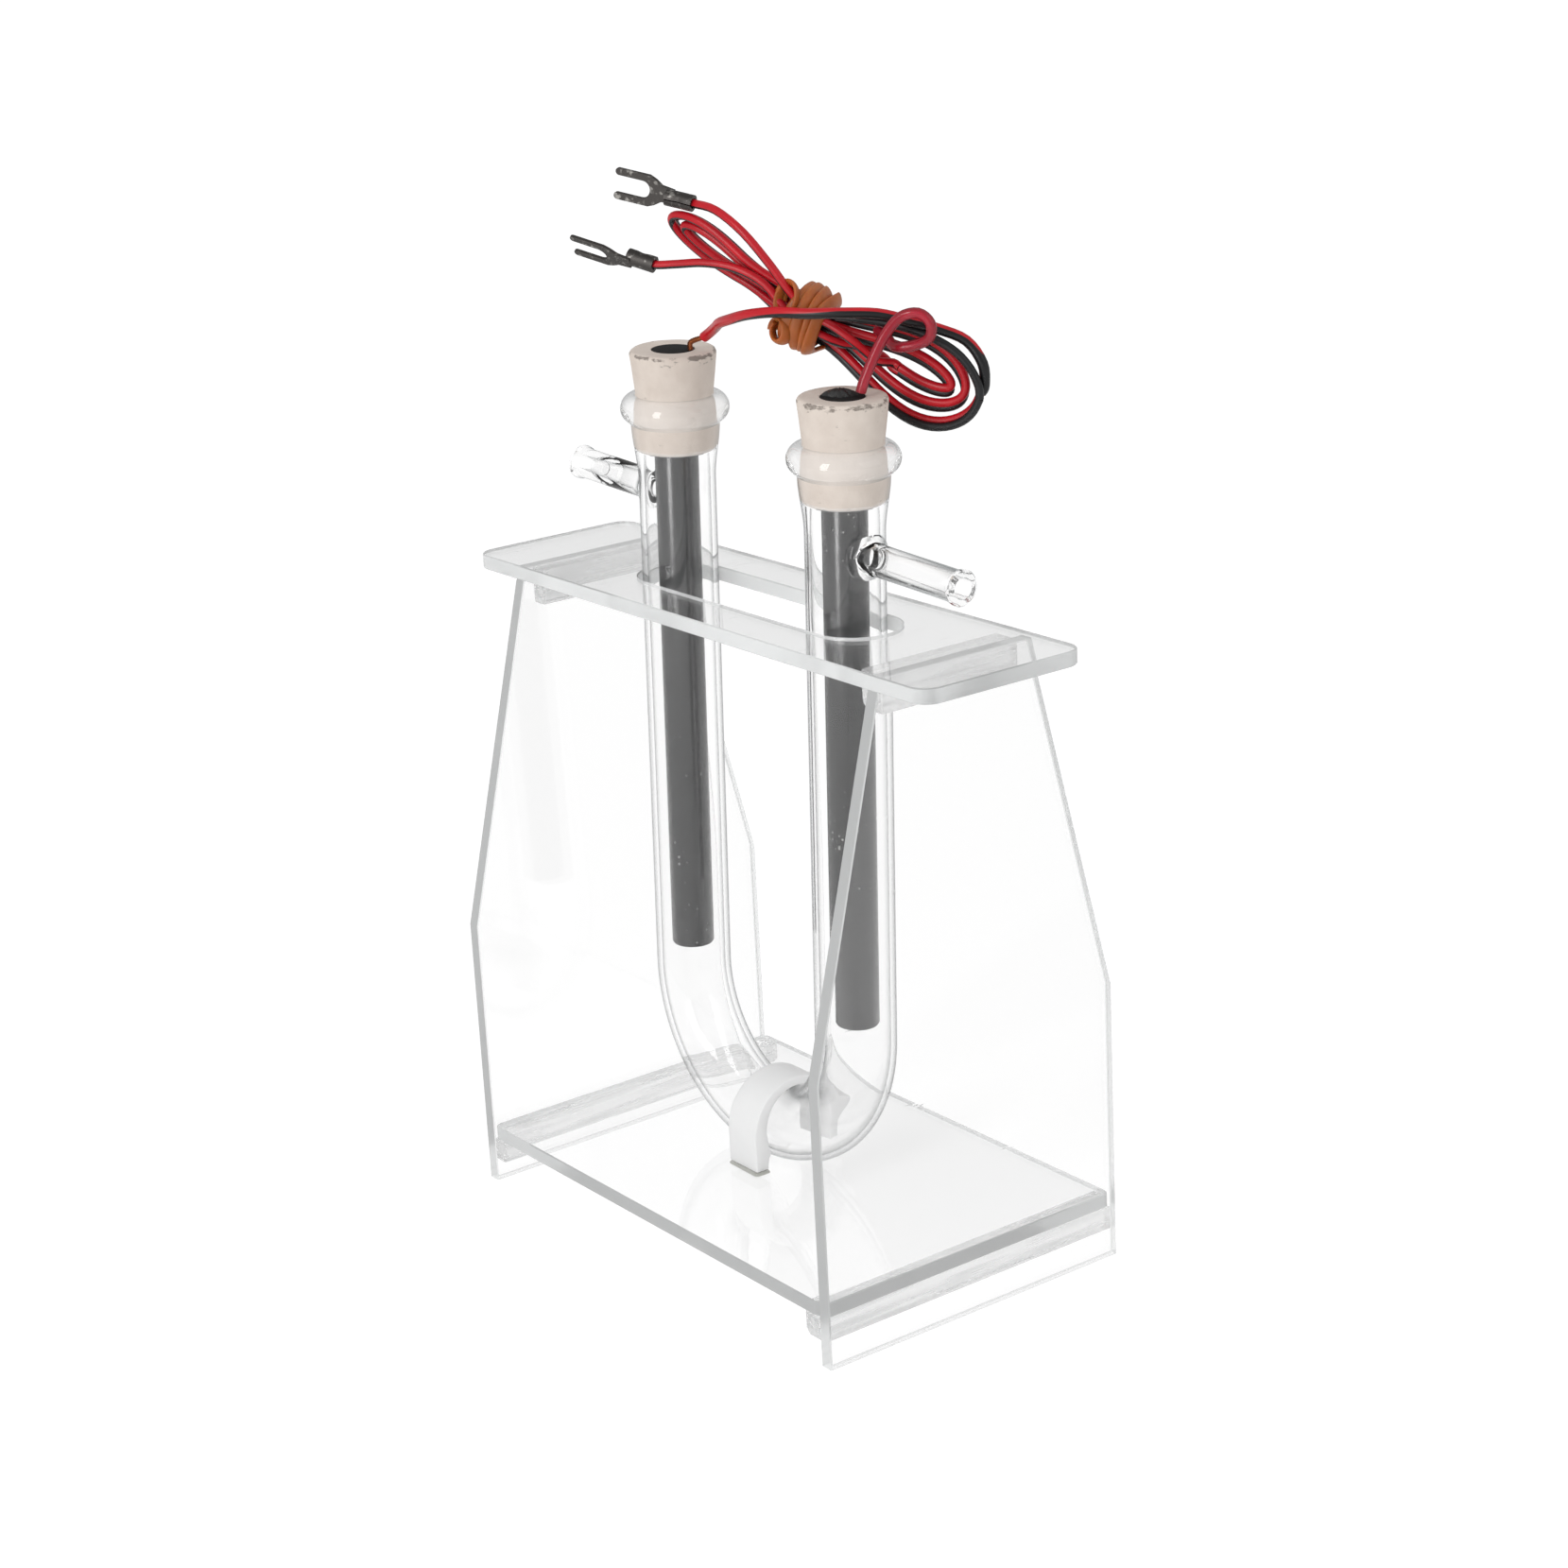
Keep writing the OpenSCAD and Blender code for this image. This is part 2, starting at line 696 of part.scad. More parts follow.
base_plate();
side_panel(-1);  // side_panel_left
side_panel(1);  // side_panel_right
top_plate();
base_strip(-1);  // base_strip_left
base_strip(1);  // base_strip_right
top_strip(-1);  // top_strip_left
top_strip(1);  // top_strip_right
u_tube();
tube_clip();
clip_glue();
stopper(-1);  // stopper_left
carbon_rod(-1);  // carbon_rod_left
copper_tail_left();
stopper(1);  // stopper_right
carbon_rod(1);  // carbon_rod_right
rod_seal_right();
lead_right();
lead_left();
lead_black();
hank_red();
hank_black();
terminal_lead_red();
terminal_lead_black();
fork_terminal(fork_upper_at, fork_upper_turn);  // fork_terminal_upper
fork_terminal(fork_lower_at, fork_lower_turn);  // fork_terminal_lower
rubber_band();
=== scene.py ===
import math

import bmesh
import bpy
from bpy.props import FloatProperty, FloatVectorProperty, IntProperty, PointerProperty
from mathutils import Matrix, Vector


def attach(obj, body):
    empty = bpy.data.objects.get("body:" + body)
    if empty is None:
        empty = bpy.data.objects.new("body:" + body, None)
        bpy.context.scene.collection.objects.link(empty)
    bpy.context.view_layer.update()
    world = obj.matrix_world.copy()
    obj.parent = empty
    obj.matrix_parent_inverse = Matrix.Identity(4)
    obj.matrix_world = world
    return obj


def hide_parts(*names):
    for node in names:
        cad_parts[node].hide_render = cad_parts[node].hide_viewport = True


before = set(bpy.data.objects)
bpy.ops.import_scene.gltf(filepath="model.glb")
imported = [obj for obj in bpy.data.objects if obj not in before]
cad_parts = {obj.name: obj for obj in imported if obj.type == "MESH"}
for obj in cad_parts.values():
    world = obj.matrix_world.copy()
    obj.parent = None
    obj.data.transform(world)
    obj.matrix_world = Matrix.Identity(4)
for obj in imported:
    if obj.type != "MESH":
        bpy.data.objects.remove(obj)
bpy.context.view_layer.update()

bl_info = {
    "name": "U-tube electrolysis apparatus",
    "version": (1, 0, 0),
    "blender": (4, 5, 0),
    "location": "3D View > Sidebar > Apparatus",
    "description": "Builds a glass U-tube with carbon electrodes in a clear acrylic stand",
    "category": "Add Mesh",
}


def linear(written):
    """An sRGB colour written as hex, as the linear red, green and blue that Blender takes."""
    parts = [int(written[i : i + 2], 16) / 255 for i in (1, 3, 5)]
    return tuple(p / 12.92 if p <= 0.04045 else ((p + 0.055) / 1.055) ** 2.4 for p in parts)


def length(name, about, default):
    """A size in metres."""
    return FloatProperty(name=name, description=about, default=default, min=0.0, unit="LENGTH")


def colour(name, about, default):
    """A colour, from its sRGB hex value."""
    return FloatVectorProperty(
        name=name, description=about, default=linear(default), min=0.0, max=1.0, subtype="COLOR"
    )


# Settings: sizes in metres and colours

class StandSettings(bpy.types.PropertyGroup):
    length: length("Length", "Outside length over the side panels", 0.115)
    depth: length("Depth", "Depth of the side panels at the foot", 0.070)
    panel_height: length("Panel height", "Underside of the top plate", 0.125)
    kink_height: length("Kink height", "Where the side panels start to taper", 0.056)
    panel_top: length("Panel top", "Depth of the side panels at the top", 0.0354)
    sheet: length("Sheet", "Thickness of the acrylic sheet", 0.003)
    base_gap: length("Base gap", "Gap under the base plate", 0.0096)
    base_corner: length("Base corner", "Corner radius of the base plate", 0.0015)
    top_length: length("Top length", "Length of the top plate", 0.142)
    top_depth: length("Top depth", "Depth of the top plate", 0.037)
    top_corner: length("Top corner", "Corner radius of the top plate", 0.0039)
    slot_length: length("Slot length", "Length of the slot in the top plate", 0.072)
    slot_width: length("Slot width", "Width of the slot in the top plate", 0.0166)
    slot_off: length("Slot offset", "How far the slot is off the middle", 0.002)
    strip_width: length("Strip width", "Width of a glue strip", 0.0042)
    base_strip: length("Base strip", "Height of a strip under the base plate", 0.0046)
    top_strip: length("Top strip", "Height of a strip under the top plate", 0.005)
    strip_set: length("Strip set-back", "How far a top strip stops short", 0.002)
    strip_cut: length("Strip chamfer", "Chamfer along a strip's free edge", 0.0012)
    arris: length("Arris", "Chamfer left where the cut edges are rubbed down", 0.00022)
    glue_line: length("Glue line", "Gap between two glued pieces", 0.00004)
    face_tint: colour("Face tint", "Clear acrylic seen square on", "#fbfbfb")
    # The side tint is painted shade: the grey that acrylic takes where it is seen along its face
    side_shade_painted: colour("Side tint", "Clear acrylic seen along its face", "#dcdddd")
    edge_tint: colour("Edge tint", "Sawn and polished edge", "#e4e6e6")


class TubeSettings(bpy.types.PropertyGroup):
    radius: length("Radius", "Outer radius of the tube", 0.00745)
    wall: length("Wall", "Thickness of the glass", 0.0011)
    bend: length("Bend", "Radius of the bend's middle line", 0.026)
    limb: length("Limb", "Straight length of a limb", 0.1167)
    bend_x: FloatProperty(name="Bend across", description="Middle of the bend along the stand",
                          default=-0.003137, unit="LENGTH")
    bend_z: length("Bend height", "Middle of the bend above the bench", 0.04615)
    lean: FloatProperty(name="Lean", description="Lean of the tube in its slot",
                        default=math.radians(2.5), unit="ROTATION")
    seat_low: length("Seat low", "Bore that the stopper's foot fills", 0.00622)
    mouth: length("Mouth", "Bore that the stopper fills at the mouth", 0.00743)
    bead: length("Bead", "Outer radius of the bead", 0.0105)
    bead_height: length("Bead height", "Height of the bead", 0.0056)
    arm_drop: length("Arm drop", "Depth of the side arms below the mouth", 0.0199)
    arm_radius: length("Arm radius", "Outer radius of a side arm", 0.003)
    arm_bore: length("Arm bore", "Bore radius of a side arm", 0.002)
    arm_length: length("Arm length", "From the limb's axis to the arm's end", 0.033)
    tint: colour("Tint", "Glass seen square on", "#fdfdfd")
    # The rim tint is painted shade: the dark outline where the glass wall is seen along its length
    rim_shade_painted: colour("Rim tint", "Glass seen along its wall", "#3f4547")
    # The bead tint is painted shade: the soft outline of the rolled mouths
    bead_outline_shade: colour("Bead tint", "Outline of the rolled mouths", "#8b9092")


class ElectrodeSettings(bpy.types.PropertyGroup):
    stopper_top: length("Stopper top", "Radius of a stopper's top", 0.0084)
    stopper_low: length("Stopper foot", "Radius of a stopper's foot", 0.00625)
    stopper_height: length("Stopper height", "Height of a stopper", 0.0195)
    stopper_in: length("Stopper depth", "Depth inside the mouth", 0.011)
    rod: length("Rod", "Radius of a carbon rod", 0.0042)
    rod_length: length("Rod length", "Length of a carbon rod", 0.1216)
    seal_height: length("Seal height", "Height of the sealing lump", 0.0013)
    strands: IntProperty(name="Strands", description="Copper strands in the tail", default=7, min=3)
    rubber: colour("Rubber", "Stopper rubber", "#e6dbd1")
    scuff: colour("Scuff", "Dirt and rubbed marks on the rubber", "#6f655d")
    carbon: colour("Carbon", "Side of a carbon rod", "#181819")
    carbon_top: colour("Carbon top", "Sawn top of a carbon rod", "#101010")
    seal: colour("Seal", "Sealing lump", "#161617")
    copper: colour("Copper", "Copper strands", "#a9653f")


class LeadSettings(bpy.types.PropertyGroup):
    wire: length("Wire", "Diameter over the insulation", 0.0016)
    sleeve: length("Sleeve", "Diameter of the sleeved leads", 0.002)
    band_width: length("Band width", "Width of the rubber band's strand", 0.0026)
    band_thickness: length("Band thickness", "Thickness of the strand", 0.0009)
    fork_length: length("Fork length", "Length of a fork terminal", 0.0165)
    fork_width: length("Fork width", "Width over the prongs", 0.006)
    fork_gap: length("Fork gap", "Gap between the prongs", 0.0032)
    fork_depth: length("Fork depth", "Depth of that gap", 0.0072)
    fork_sheet: length("Fork sheet", "Thickness of the sheet metal", 0.0007)
    barrel_length: length("Barrel length", "Length of the crimped barrel", 0.0054)
    barrel_radius: length("Barrel radius", "Outer radius of the barrel", 0.00155)
    red: colour("Red", "Red insulation", "#d30e20")
    black: colour("Black", "Black insulation", "#151517")
    sleeve_red: colour("Sleeve red", "Translucent red sleeve", "#c5243c")
    band: colour("Band", "Rubber band", "#c9712f")
    metal: colour("Metal", "Fork terminals", "#555250")


class StageSettings(bpy.types.PropertyGroup):
    lens: FloatProperty(name="Lens", description="Focal length in millimetres", default=76.88)
    ambient: FloatProperty(name="Ambient", description="Light from all round", default=0.72)
    key: FloatProperty(name="Key", description="Watts of the tall soft box", default=6.5)
    fill: FloatProperty(name="Fill", description="Watts of the lamp opposite", default=2.5)


# Meshes

# Points nearer than this are one point, and a step shorter than that has no direction
MERGED, NO_STEP = 1e-7, 1e-9


def skin(rings, looped=False):
    """Points and faces of a skin over rings of equal count, closed by caps or back on itself."""
    count = len(rings[0])
    points = [Vector(p) for ring in rings for p in ring]
    faces = []
    for i in range(len(rings) - (not looped)):
        a, b = i * count, (i + 1) % len(rings) * count
        faces += [(a + k, a + (k + 1) % count, b + (k + 1) % count, b + k) for k in range(count)]
    if not looped:
        last = (len(rings) - 1) * count
        faces += [tuple(range(count))[::-1], tuple(range(last, last + count))]
    return points, faces


def ring(centre, across, up, radius, sides):
    """A ring of points round a centre."""
    turns = [2 * math.pi * k / sides for k in range(sides)]
    return [centre + radius * (math.cos(t) * across + math.sin(t) * up) for t in turns]


def shares(steps):
    """Even shares from 0 to 1."""
    return [k / steps for k in range(steps + 1)]


def sweep(start, turn, steps):
    """Angles from a start through a turn, both given in degrees."""
    return [math.radians(start + turn * k / steps) for k in range(steps + 1)]


def new_mesh(name, points, faces, finishes, indices=None, sharp=35.0, wear=None):
    """A mesh object at the origin: doubles merged, faces outwards, smooth between creases."""
    mesh = bpy.data.meshes.new(name)
    mesh.from_pydata([tuple(p) for p in points], [], faces)
    for finish in finishes:
        mesh.materials.append(finish)
    if indices:
        mesh.polygons.foreach_set("material_index", indices)
    if wear:
        mesh.attributes.new("wear", "FLOAT", "POINT").data.foreach_set("value", wear)
    work = bmesh.new()
    work.from_mesh(mesh)
    bmesh.ops.remove_doubles(work, verts=work.verts, dist=MERGED)
    bmesh.ops.recalc_face_normals(work, faces=work.faces)
    work.to_mesh(mesh)
    work.free()
    creased(mesh, sharp)
    piece = bpy.data.objects.new(name, mesh)
    bpy.context.scene.collection.objects.link(piece)
    return piece


def hand_over(piece, body, slot, *nodes):
    """Hide the piece's CAD nodes, so that it shows in their place, and let it move with their body.
    """
    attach(piece, body)
    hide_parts(*nodes)


def see_through(piece):
    """A clear piece is seen, and lets the soft light through to the floor."""
    piece.visible_shadow = False
    piece.visible_diffuse = False
    return piece


def applied(piece):
    """The piece's mesh, its modifiers turned into plain mesh."""
    bpy.context.view_layer.update()
    shape = piece.evaluated_get(bpy.context.evaluated_depsgraph_get())
    mesh = bpy.data.meshes.new_from_object(shape)
    piece.modifiers.clear()
    piece.data = mesh
    return mesh


def creased(mesh, sharp=35.0):
    """Smooth faces, with a crease where they meet at more than an angle in degrees."""
    mesh.shade_smooth()
    mesh.set_sharp_from_angle(angle=math.radians(sharp))


def join(piece, other, operation):
    """Unite the piece with another solid, or cut it by the other."""
    cut = piece.modifiers.new("join", "BOOLEAN")
    cut.operation, cut.object, cut.solver = operation, other, "EXACT"
    creased(applied(piece))
    bpy.data.objects.remove(other)


def inset(outline, depth):
    """A counter-clockwise outline moved inwards by a depth."""
    moved = []
    for i, here in enumerate(outline):
        before, after = here - outline[i - 1], outline[(i + 1) % len(outline)] - here
        before = before if before.length > NO_STEP else after
        after = after if after.length > NO_STEP else before
        a = Vector((-before.y, before.x)).normalized()
        b = Vector((-after.y, after.x)).normalized()
        moved.append(here + depth * (a + b) / (1 + a.dot(b)))
    return moved


def rounded(size_x, size_y, radius, middle=(0.0, 0.0), steps=10):
    """The outline of a rectangle with round corners."""
    outline = []
    for corner, (sx, sy) in enumerate(((1, 1), (-1, 1), (-1, -1), (1, -1))):
        for t in sweep(90 * corner, 90, steps):
            outline.append(Vector((
                middle[0] + sx * (size_x / 2 - radius) + radius * math.cos(t),
                middle[1] + sy * (size_y / 2 - radius) + radius * math.sin(t),
            )))
    return outline


def sheet_piece(name, outline, low, high, arris, place, finishes, hole=None):
    """A flat sheet cut to an outline, with rubbed-down edges: faces polished, edges sawn."""
    levels = [(low, arris), (low + arris, 0.0), (high - arris, 0.0), (high, arris)]
    rings = [[place @ Vector((*p, z)) for p in inset(outline, d)] for z, d in levels]
    edge = [1, 1, 1]
    if hole:
        rings += [[place @ Vector((*p, z)) for p in inset(hole, -d)] for z, d in levels[::-1]]
        points, faces = skin(rings, looped=True)
        edge = [1, 1, 1, 0, 1, 1, 1, 0]
        indices = [e for e in edge for _ in outline]
    else:
        points, faces = skin(rings)
        indices = [e for e in edge for _ in outline] + [0, 0]
    return new_mesh(name, points, faces, finishes, indices)


# Materials

def add_node(tree, kind, inputs=None, **settings):
    """A node with its settings, and its inputs set or linked."""
    made = tree.nodes.new(kind)
    for key, value in settings.items():
        setattr(made, key, value)
    for key, value in (inputs or {}).items():
        if isinstance(value, bpy.types.NodeSocket):
            tree.links.new(value, made.inputs[key])
        else:
            made.inputs[key].default_value = value
    return made


def new_finish(name, shade, **constants):
    """A material: its shader's sockets set, and what the function given hands back linked to it.

    That may be tint, a share and two colours; dull, a value with the range that it is read in and
    the roughness that it gives; and bump, a height, a strength and a distance.
    """
    finish = bpy.data.materials.get(name)
    if finish:
        return finish
    finish = bpy.data.materials.new(name)
    finish.use_nodes = True
    tree = finish.node_tree
    shader = tree.nodes["Principled BSDF"]
    for key, value in constants.items():
        shader.inputs[key.replace("_", " ")].default_value = value
    made = shade(tree, add_node(tree, "ShaderNodeTexCoord").outputs["Object"])
    share, one, other = made["tint"]
    ends = {6: one if isinstance(one, bpy.types.NodeSocket) else full(one), 7: full(other)}
    tint = add_node(tree, "ShaderNodeMix", {0: share, **ends}, data_type="RGBA")
    tree.links.new(tint.outputs[2], shader.inputs["Base Color"])
    if "dull" in made:
        keys = "Value", "From Min", "From Max", "To Min", "To Max"
        dull = add_node(tree, "ShaderNodeMapRange", dict(zip(keys, made["dull"])))
        tree.links.new(dull.outputs["Result"], shader.inputs["Roughness"])
    if "bump" in made:
        bump = add_node(tree, "ShaderNodeBump", dict(zip(
            ("Height", "Strength", "Distance"), made["bump"])))
        tree.links.new(bump.outputs[0], shader.inputs["Normal"])
    return finish


def full(rgb):
    """A colour with its alpha."""
    return (*rgb, 1.0)


def clear_acrylic(stand):
    """Cast acrylic sheet, clear: square on it hardly shows; along its face, painted grey shade."""
    def shade(tree, place):
        facing = add_node(tree, "ShaderNodeLayerWeight", {"Blend": 0.5}).outputs["Facing"]
        # Painted shade: the sheet turns grey where its face is seen at a grazing angle
        grazing_shade = add_node(tree, "ShaderNodeMapRange", {
            "Value": facing, "From Min": 0.55, "From Max": 1.0}).outputs["Result"]
        # Hairline scratches a few millimetres long
        stretch = add_node(tree, "ShaderNodeMapping", {
            "Vector": place, "Rotation": (0.5, 0.4, 0.6), "Scale": (1400, 90, 700)}).outputs[0]
        hair = add_node(tree, "ShaderNodeTexNoise", {"Vector": stretch, "Scale": 1.0})
        marks = add_node(tree, "ShaderNodeMapRange", {
            "Value": hair.outputs[0], "From Min": 0.68, "From Max": 0.74}).outputs["Result"]
        return {"tint": (grazing_shade, stand.face_tint, stand.side_shade_painted), "bump": (marks, 0.04, 1e-4)}
    return new_finish("acrylic_cast_clear", shade, Roughness=0.01, IOR=1.49,
                      Transmission_Weight=1.0)


def acrylic_edge(stand):
    """The same sheet's sawn and rubbed-down edge: satin, with saw lines across the thickness."""
    def shade(tree, place):
        lines = add_node(tree, "ShaderNodeMapping", {"Vector": place, "Scale": (1800, 1800, 1800)})
        grain = add_node(tree, "ShaderNodeTexNoise", {"Vector": lines.outputs[0], "Scale": 1.0})
        patch = add_node(tree, "ShaderNodeTexNoise", {
            "Vector": place, "Scale": 110.0, "Detail": 3.0}).outputs[0]
        return {"tint": (patch, stand.edge_tint, linear("#f2f3f3")),
                "bump": (grain.outputs[0], 0.15, 5e-5)}
    return new_finish("acrylic_sawn_edge", shade, Roughness=0.25, IOR=1.49,
                      Transmission_Weight=0.45)


def glued_acrylic():
    """Acrylic strip bedded in solvent glue: clear, with milky streaks where the glue ran."""
    def shade(tree, place):
        long = add_node(tree, "ShaderNodeMapping", {"Vector": place, "Scale": (500, 45, 700)})
        run = add_node(tree, "ShaderNodeTexNoise", {
            "Vector": long.outputs[0], "Scale": 1.0, "Detail": 4.0}).outputs[0]
        milky = add_node(tree, "ShaderNodeMapRange", {
            "Value": run, "From Min": 0.48, "From Max": 0.66}).outputs["Result"]
        return {"tint": (milky, linear("#f8f8f8"), linear("#e6e7e7")),
                "dull": (run, 0.4, 0.7, 0.04, 0.5)}
    return new_finish("acrylic_strip_glued", shade, IOR=1.49, Transmission_Weight=0.7)


def tube_glass(tube):
    """Glass tubing, flame-worked: clear, with painted grey shade where the wall is seen along its
    length.
    """
    def shade(tree, place):
        facing = add_node(tree, "ShaderNodeLayerWeight", {"Blend": 0.5}).outputs["Facing"]
        # The painted shade at the wall's edge is weaker near the worked mouths
        high = add_node(tree, "ShaderNodeSeparateXYZ", {0: place}).outputs["Z"]
        mouth_shade_fade = add_node(tree, "ShaderNodeMapRange", {
            "Value": high, "From Min": 0.150, "From Max": 0.157, "To Min": 1.0, "To Max": 0.55})
        # Painted shade: the wall turns dark grey where it is seen along its length
        wall = add_node(tree, "ShaderNodeMapRange", {
            "Value": facing, "From Min": 0.55, "From Max": 0.85,
            "To Max": mouth_shade_fade.outputs["Result"]}).outputs["Result"]
        # Drawn tubing has slow waves about a centimetre long
        waves = add_node(tree, "ShaderNodeTexNoise", {
            "Vector": place, "Scale": 90.0, "Detail": 1.0}).outputs[0]
        return {"tint": (wall, tube.tint, tube.rim_shade_painted), "bump": (waves, 0.1, 5e-4)}
    return new_finish("glass_drawn_clear", shade, Roughness=0.0, IOR=1.36, Transmission_Weight=1.0)


def bead_glass(tube):
    """The same glass, rolled over at the mouths: a soft painted outline of shade, and it bends
    light less.
    """
    def shade(tree, place):
        facing = add_node(tree, "ShaderNodeLayerWeight", {"Blend": 0.5}).outputs["Facing"]
        # Painted shade: the bead's outline turns grey where it is seen edge on
        wall = add_node(tree, "ShaderNodeMapRange", {
            "Value": facing, "From Min": 0.5, "From Max": 0.95}).outputs["Result"]
        waves = add_node(tree, "ShaderNodeTexNoise", {
            "Vector": place, "Scale": 160.0, "Detail": 1.0}).outputs[0]
        return {"tint": (wall, tube.tint, tube.bead_outline_shade), "bump": (waves, 0.2, 5e-4)}
    return new_finish("glass_rolled_bead", shade, Roughness=0.0, IOR=1.13, Transmission_Weight=0.8,
                      Coat_Weight=1.0, Coat_Roughness=0.03, Coat_IOR=1.5)


def clip_nylon():
    """Natural nylon, moulded: milky, lets light through, with a satin skin."""
    def shade(tree, place):
        cloud = add_node(tree, "ShaderNodeTexNoise", {
            "Vector": place, "Scale": 260.0, "Detail": 3.0}).outputs[0]
        grain = add_node(tree, "ShaderNodeTexNoise", {"Vector": place, "Scale": 2600.0})
        return {"tint": (cloud, linear("#ffffff"), linear("#f6f7f7")),
                "bump": (grain.outputs[0], 0.12, 1e-4)}
    return new_finish("nylon_natural_moulded", shade, Roughness=0.42, IOR=1.53,
                      Transmission_Weight=0.12, Subsurface_Weight=0.6, Subsurface_Scale=0.002,
                      Subsurface_Radius=(1.0, 1.0, 1.0))


def hot_glue():
    """Hot-melt glue: cloudy clear, with a wet gloss."""
    def shade(tree, place):
        cloud = add_node(tree, "ShaderNodeTexNoise", {"Vector": place, "Scale": 700.0}).outputs[0]
        return {"tint": (cloud, linear("#f4f4ef"), linear("#dcdcd4")), "bump": (cloud, 0.5, 3e-4)}
    return new_finish("glue_hot_melt", shade, Roughness=0.2, IOR=1.48, Transmission_Weight=0.5)


def stopper_rubber(electrode):
    """Natural rubber, moulded: matt and beige, mottled, with dark rubbed marks along its rim."""
    def shade(tree, place):
        mottle = add_node(tree, "ShaderNodeTexNoise", {
            "Vector": place, "Scale": 330.0, "Detail": 5.0}).outputs[0]
        body = add_node(tree, "ShaderNodeMix", {
            0: mottle, 6: full(electrode.rubber), 7: full(linear("#d0c3b8"))},
            data_type="RGBA").outputs[2]
        worn = add_node(tree, "ShaderNodeAttribute", attribute_name="wear").outputs["Fac"]
        smear = add_node(tree, "ShaderNodeMapping", {"Vector": place, "Scale": (420, 420, 900)})
        smudge = add_node(tree, "ShaderNodeTexNoise", {
            "Vector": smear.outputs[0], "Scale": 1.0, "Detail": 6.0, "Roughness": 0.65}).outputs[0]
        # Rim wear brings the threshold down, so that marks gather there
        level = add_node(tree, "ShaderNodeMath", {0: worn, 1: 0.2, 2: smudge},
                         operation="MULTIPLY_ADD").outputs[0]
        marks = add_node(tree, "ShaderNodeMapRange", {
            "Value": level, "From Min": 0.66, "From Max": 0.76, "To Max": 0.8}).outputs["Result"]
        pores = add_node(tree, "ShaderNodeTexNoise", {
            "Vector": place, "Scale": 1500.0, "Detail": 4.0}).outputs[0]
        return {"tint": (marks, body, electrode.scuff), "bump": (pores, 0.35, 2e-4)}
    return new_finish("rubber_natural_moulded", shade, Roughness=0.72, IOR=1.52)


def rod_carbon(electrode, lean):
    """Extruded carbon: dark grey with a dull sheen, streaks along the draw and pale grit."""
    def shade(tree, place):
        drawn = add_node(tree, "ShaderNodeMapping", {
            "Vector": place, "Rotation": (0, -lean, 0), "Scale": (900, 900, 25)})
        streak = add_node(tree, "ShaderNodeTexNoise", {
            "Vector": drawn.outputs[0], "Scale": 1.0, "Detail": 5.0}).outputs[0]
        body = add_node(tree, "ShaderNodeMix", {
            0: streak, 6: full(linear("#0e0e0f")), 7: full(electrode.carbon)},
            data_type="RGBA").outputs[2]
        # Grit is a few hundredths of a millimetre, drawn coarser so that it shows, and gathers
        grit = add_node(tree, "ShaderNodeTexVoronoi", {"Vector": place, "Scale": 750.0})
        patch = add_node(tree, "ShaderNodeTexNoise", {"Vector": place, "Scale": 70.0}).outputs[0]
        reach = add_node(tree, "ShaderNodeMapRange", {
            "Value": patch, "From Min": 0.5, "From Max": 0.7, "To Max": 0.3}).outputs["Result"]
        inside = add_node(tree, "ShaderNodeMath", {0: reach, 1: grit.outputs["Distance"]},
                          operation="SUBTRACT").outputs[0]
        specks = add_node(tree, "ShaderNodeMapRange", {
            "Value": inside, "From Max": 0.08, "To Max": 0.9}).outputs["Result"]
        return {"tint": (specks, body, linear("#9a9a98")), "dull": (streak, 0.3, 0.7, 0.19, 0.26),
                "bump": (streak, 0.05, 1e-4)}
    return new_finish("carbon_extruded", shade, IOR=1.84)


def carbon_sawn(electrode):
    """The rod's sawn end: black, rough and dull."""
    def shade(tree, place):
        torn = add_node(tree, "ShaderNodeTexNoise", {
            "Vector": place, "Scale": 1400.0, "Detail": 4.0}).outputs[0]
        return {"tint": (torn, electrode.carbon_top, linear("#262626")), "bump": (torn, 0.5, 2e-4)}
    return new_finish("carbon_sawn_end", shade, Roughness=0.8, IOR=1.35)


def seal_pitch(electrode):
    """Sealing pitch, pressed on by hand: black, lumpy, part glossy."""
    def shade(tree, place):
        lumps = add_node(tree, "ShaderNodeTexNoise", {
            "Vector": place, "Scale": 900.0, "Detail": 4.0}).outputs[0]
        return {"tint": (lumps, electrode.seal, linear("#2e2d2d")),
                "dull": (lumps, 0.35, 0.65, 0.25, 0.7), "bump": (lumps, 0.8, 4e-4)}
    return new_finish("pitch_sealing", shade, IOR=1.6)


def strand_copper(electrode):
    """Bare copper strand, twisted and tarnished: brown with brighter rubbed places."""
    def shade(tree, place):
        rub = add_node(tree, "ShaderNodeTexNoise", {
            "Vector": place, "Scale": 1400.0, "Detail": 3.0}).outputs[0]
        return {"tint": (rub, electrode.copper, linear("#7a4429")),
                "dull": (rub, 0.0, 1.0, 0.25, 0.55)}
    return new_finish("copper_strand_bare", shade, Metallic=1.0)


def extruded_pvc(tree, place):
    """Patches along extruded PVC, and the fine grain of its skin."""
    uneven = add_node(tree, "ShaderNodeTexNoise", {"Vector": place, "Scale": 220.0, "Detail": 3.0})
    fine = add_node(tree, "ShaderNodeTexNoise", {"Vector": place, "Scale": 1800.0})
    return uneven.outputs[0], (fine.outputs[0], 0.08, 1e-4)


def wire_black(lead):
    """Flexible black PVC insulation, extruded: a soft gloss, faintly uneven along its length."""
    def shade(tree, place):
        uneven, grain = extruded_pvc(tree, place)
        return {"tint": (uneven, lead.black, linear("#232326")),
                "dull": (uneven, 0.3, 0.7, 0.26, 0.42), "bump": grain}
    return new_finish("pvc_insulation_black", shade, IOR=1.45)


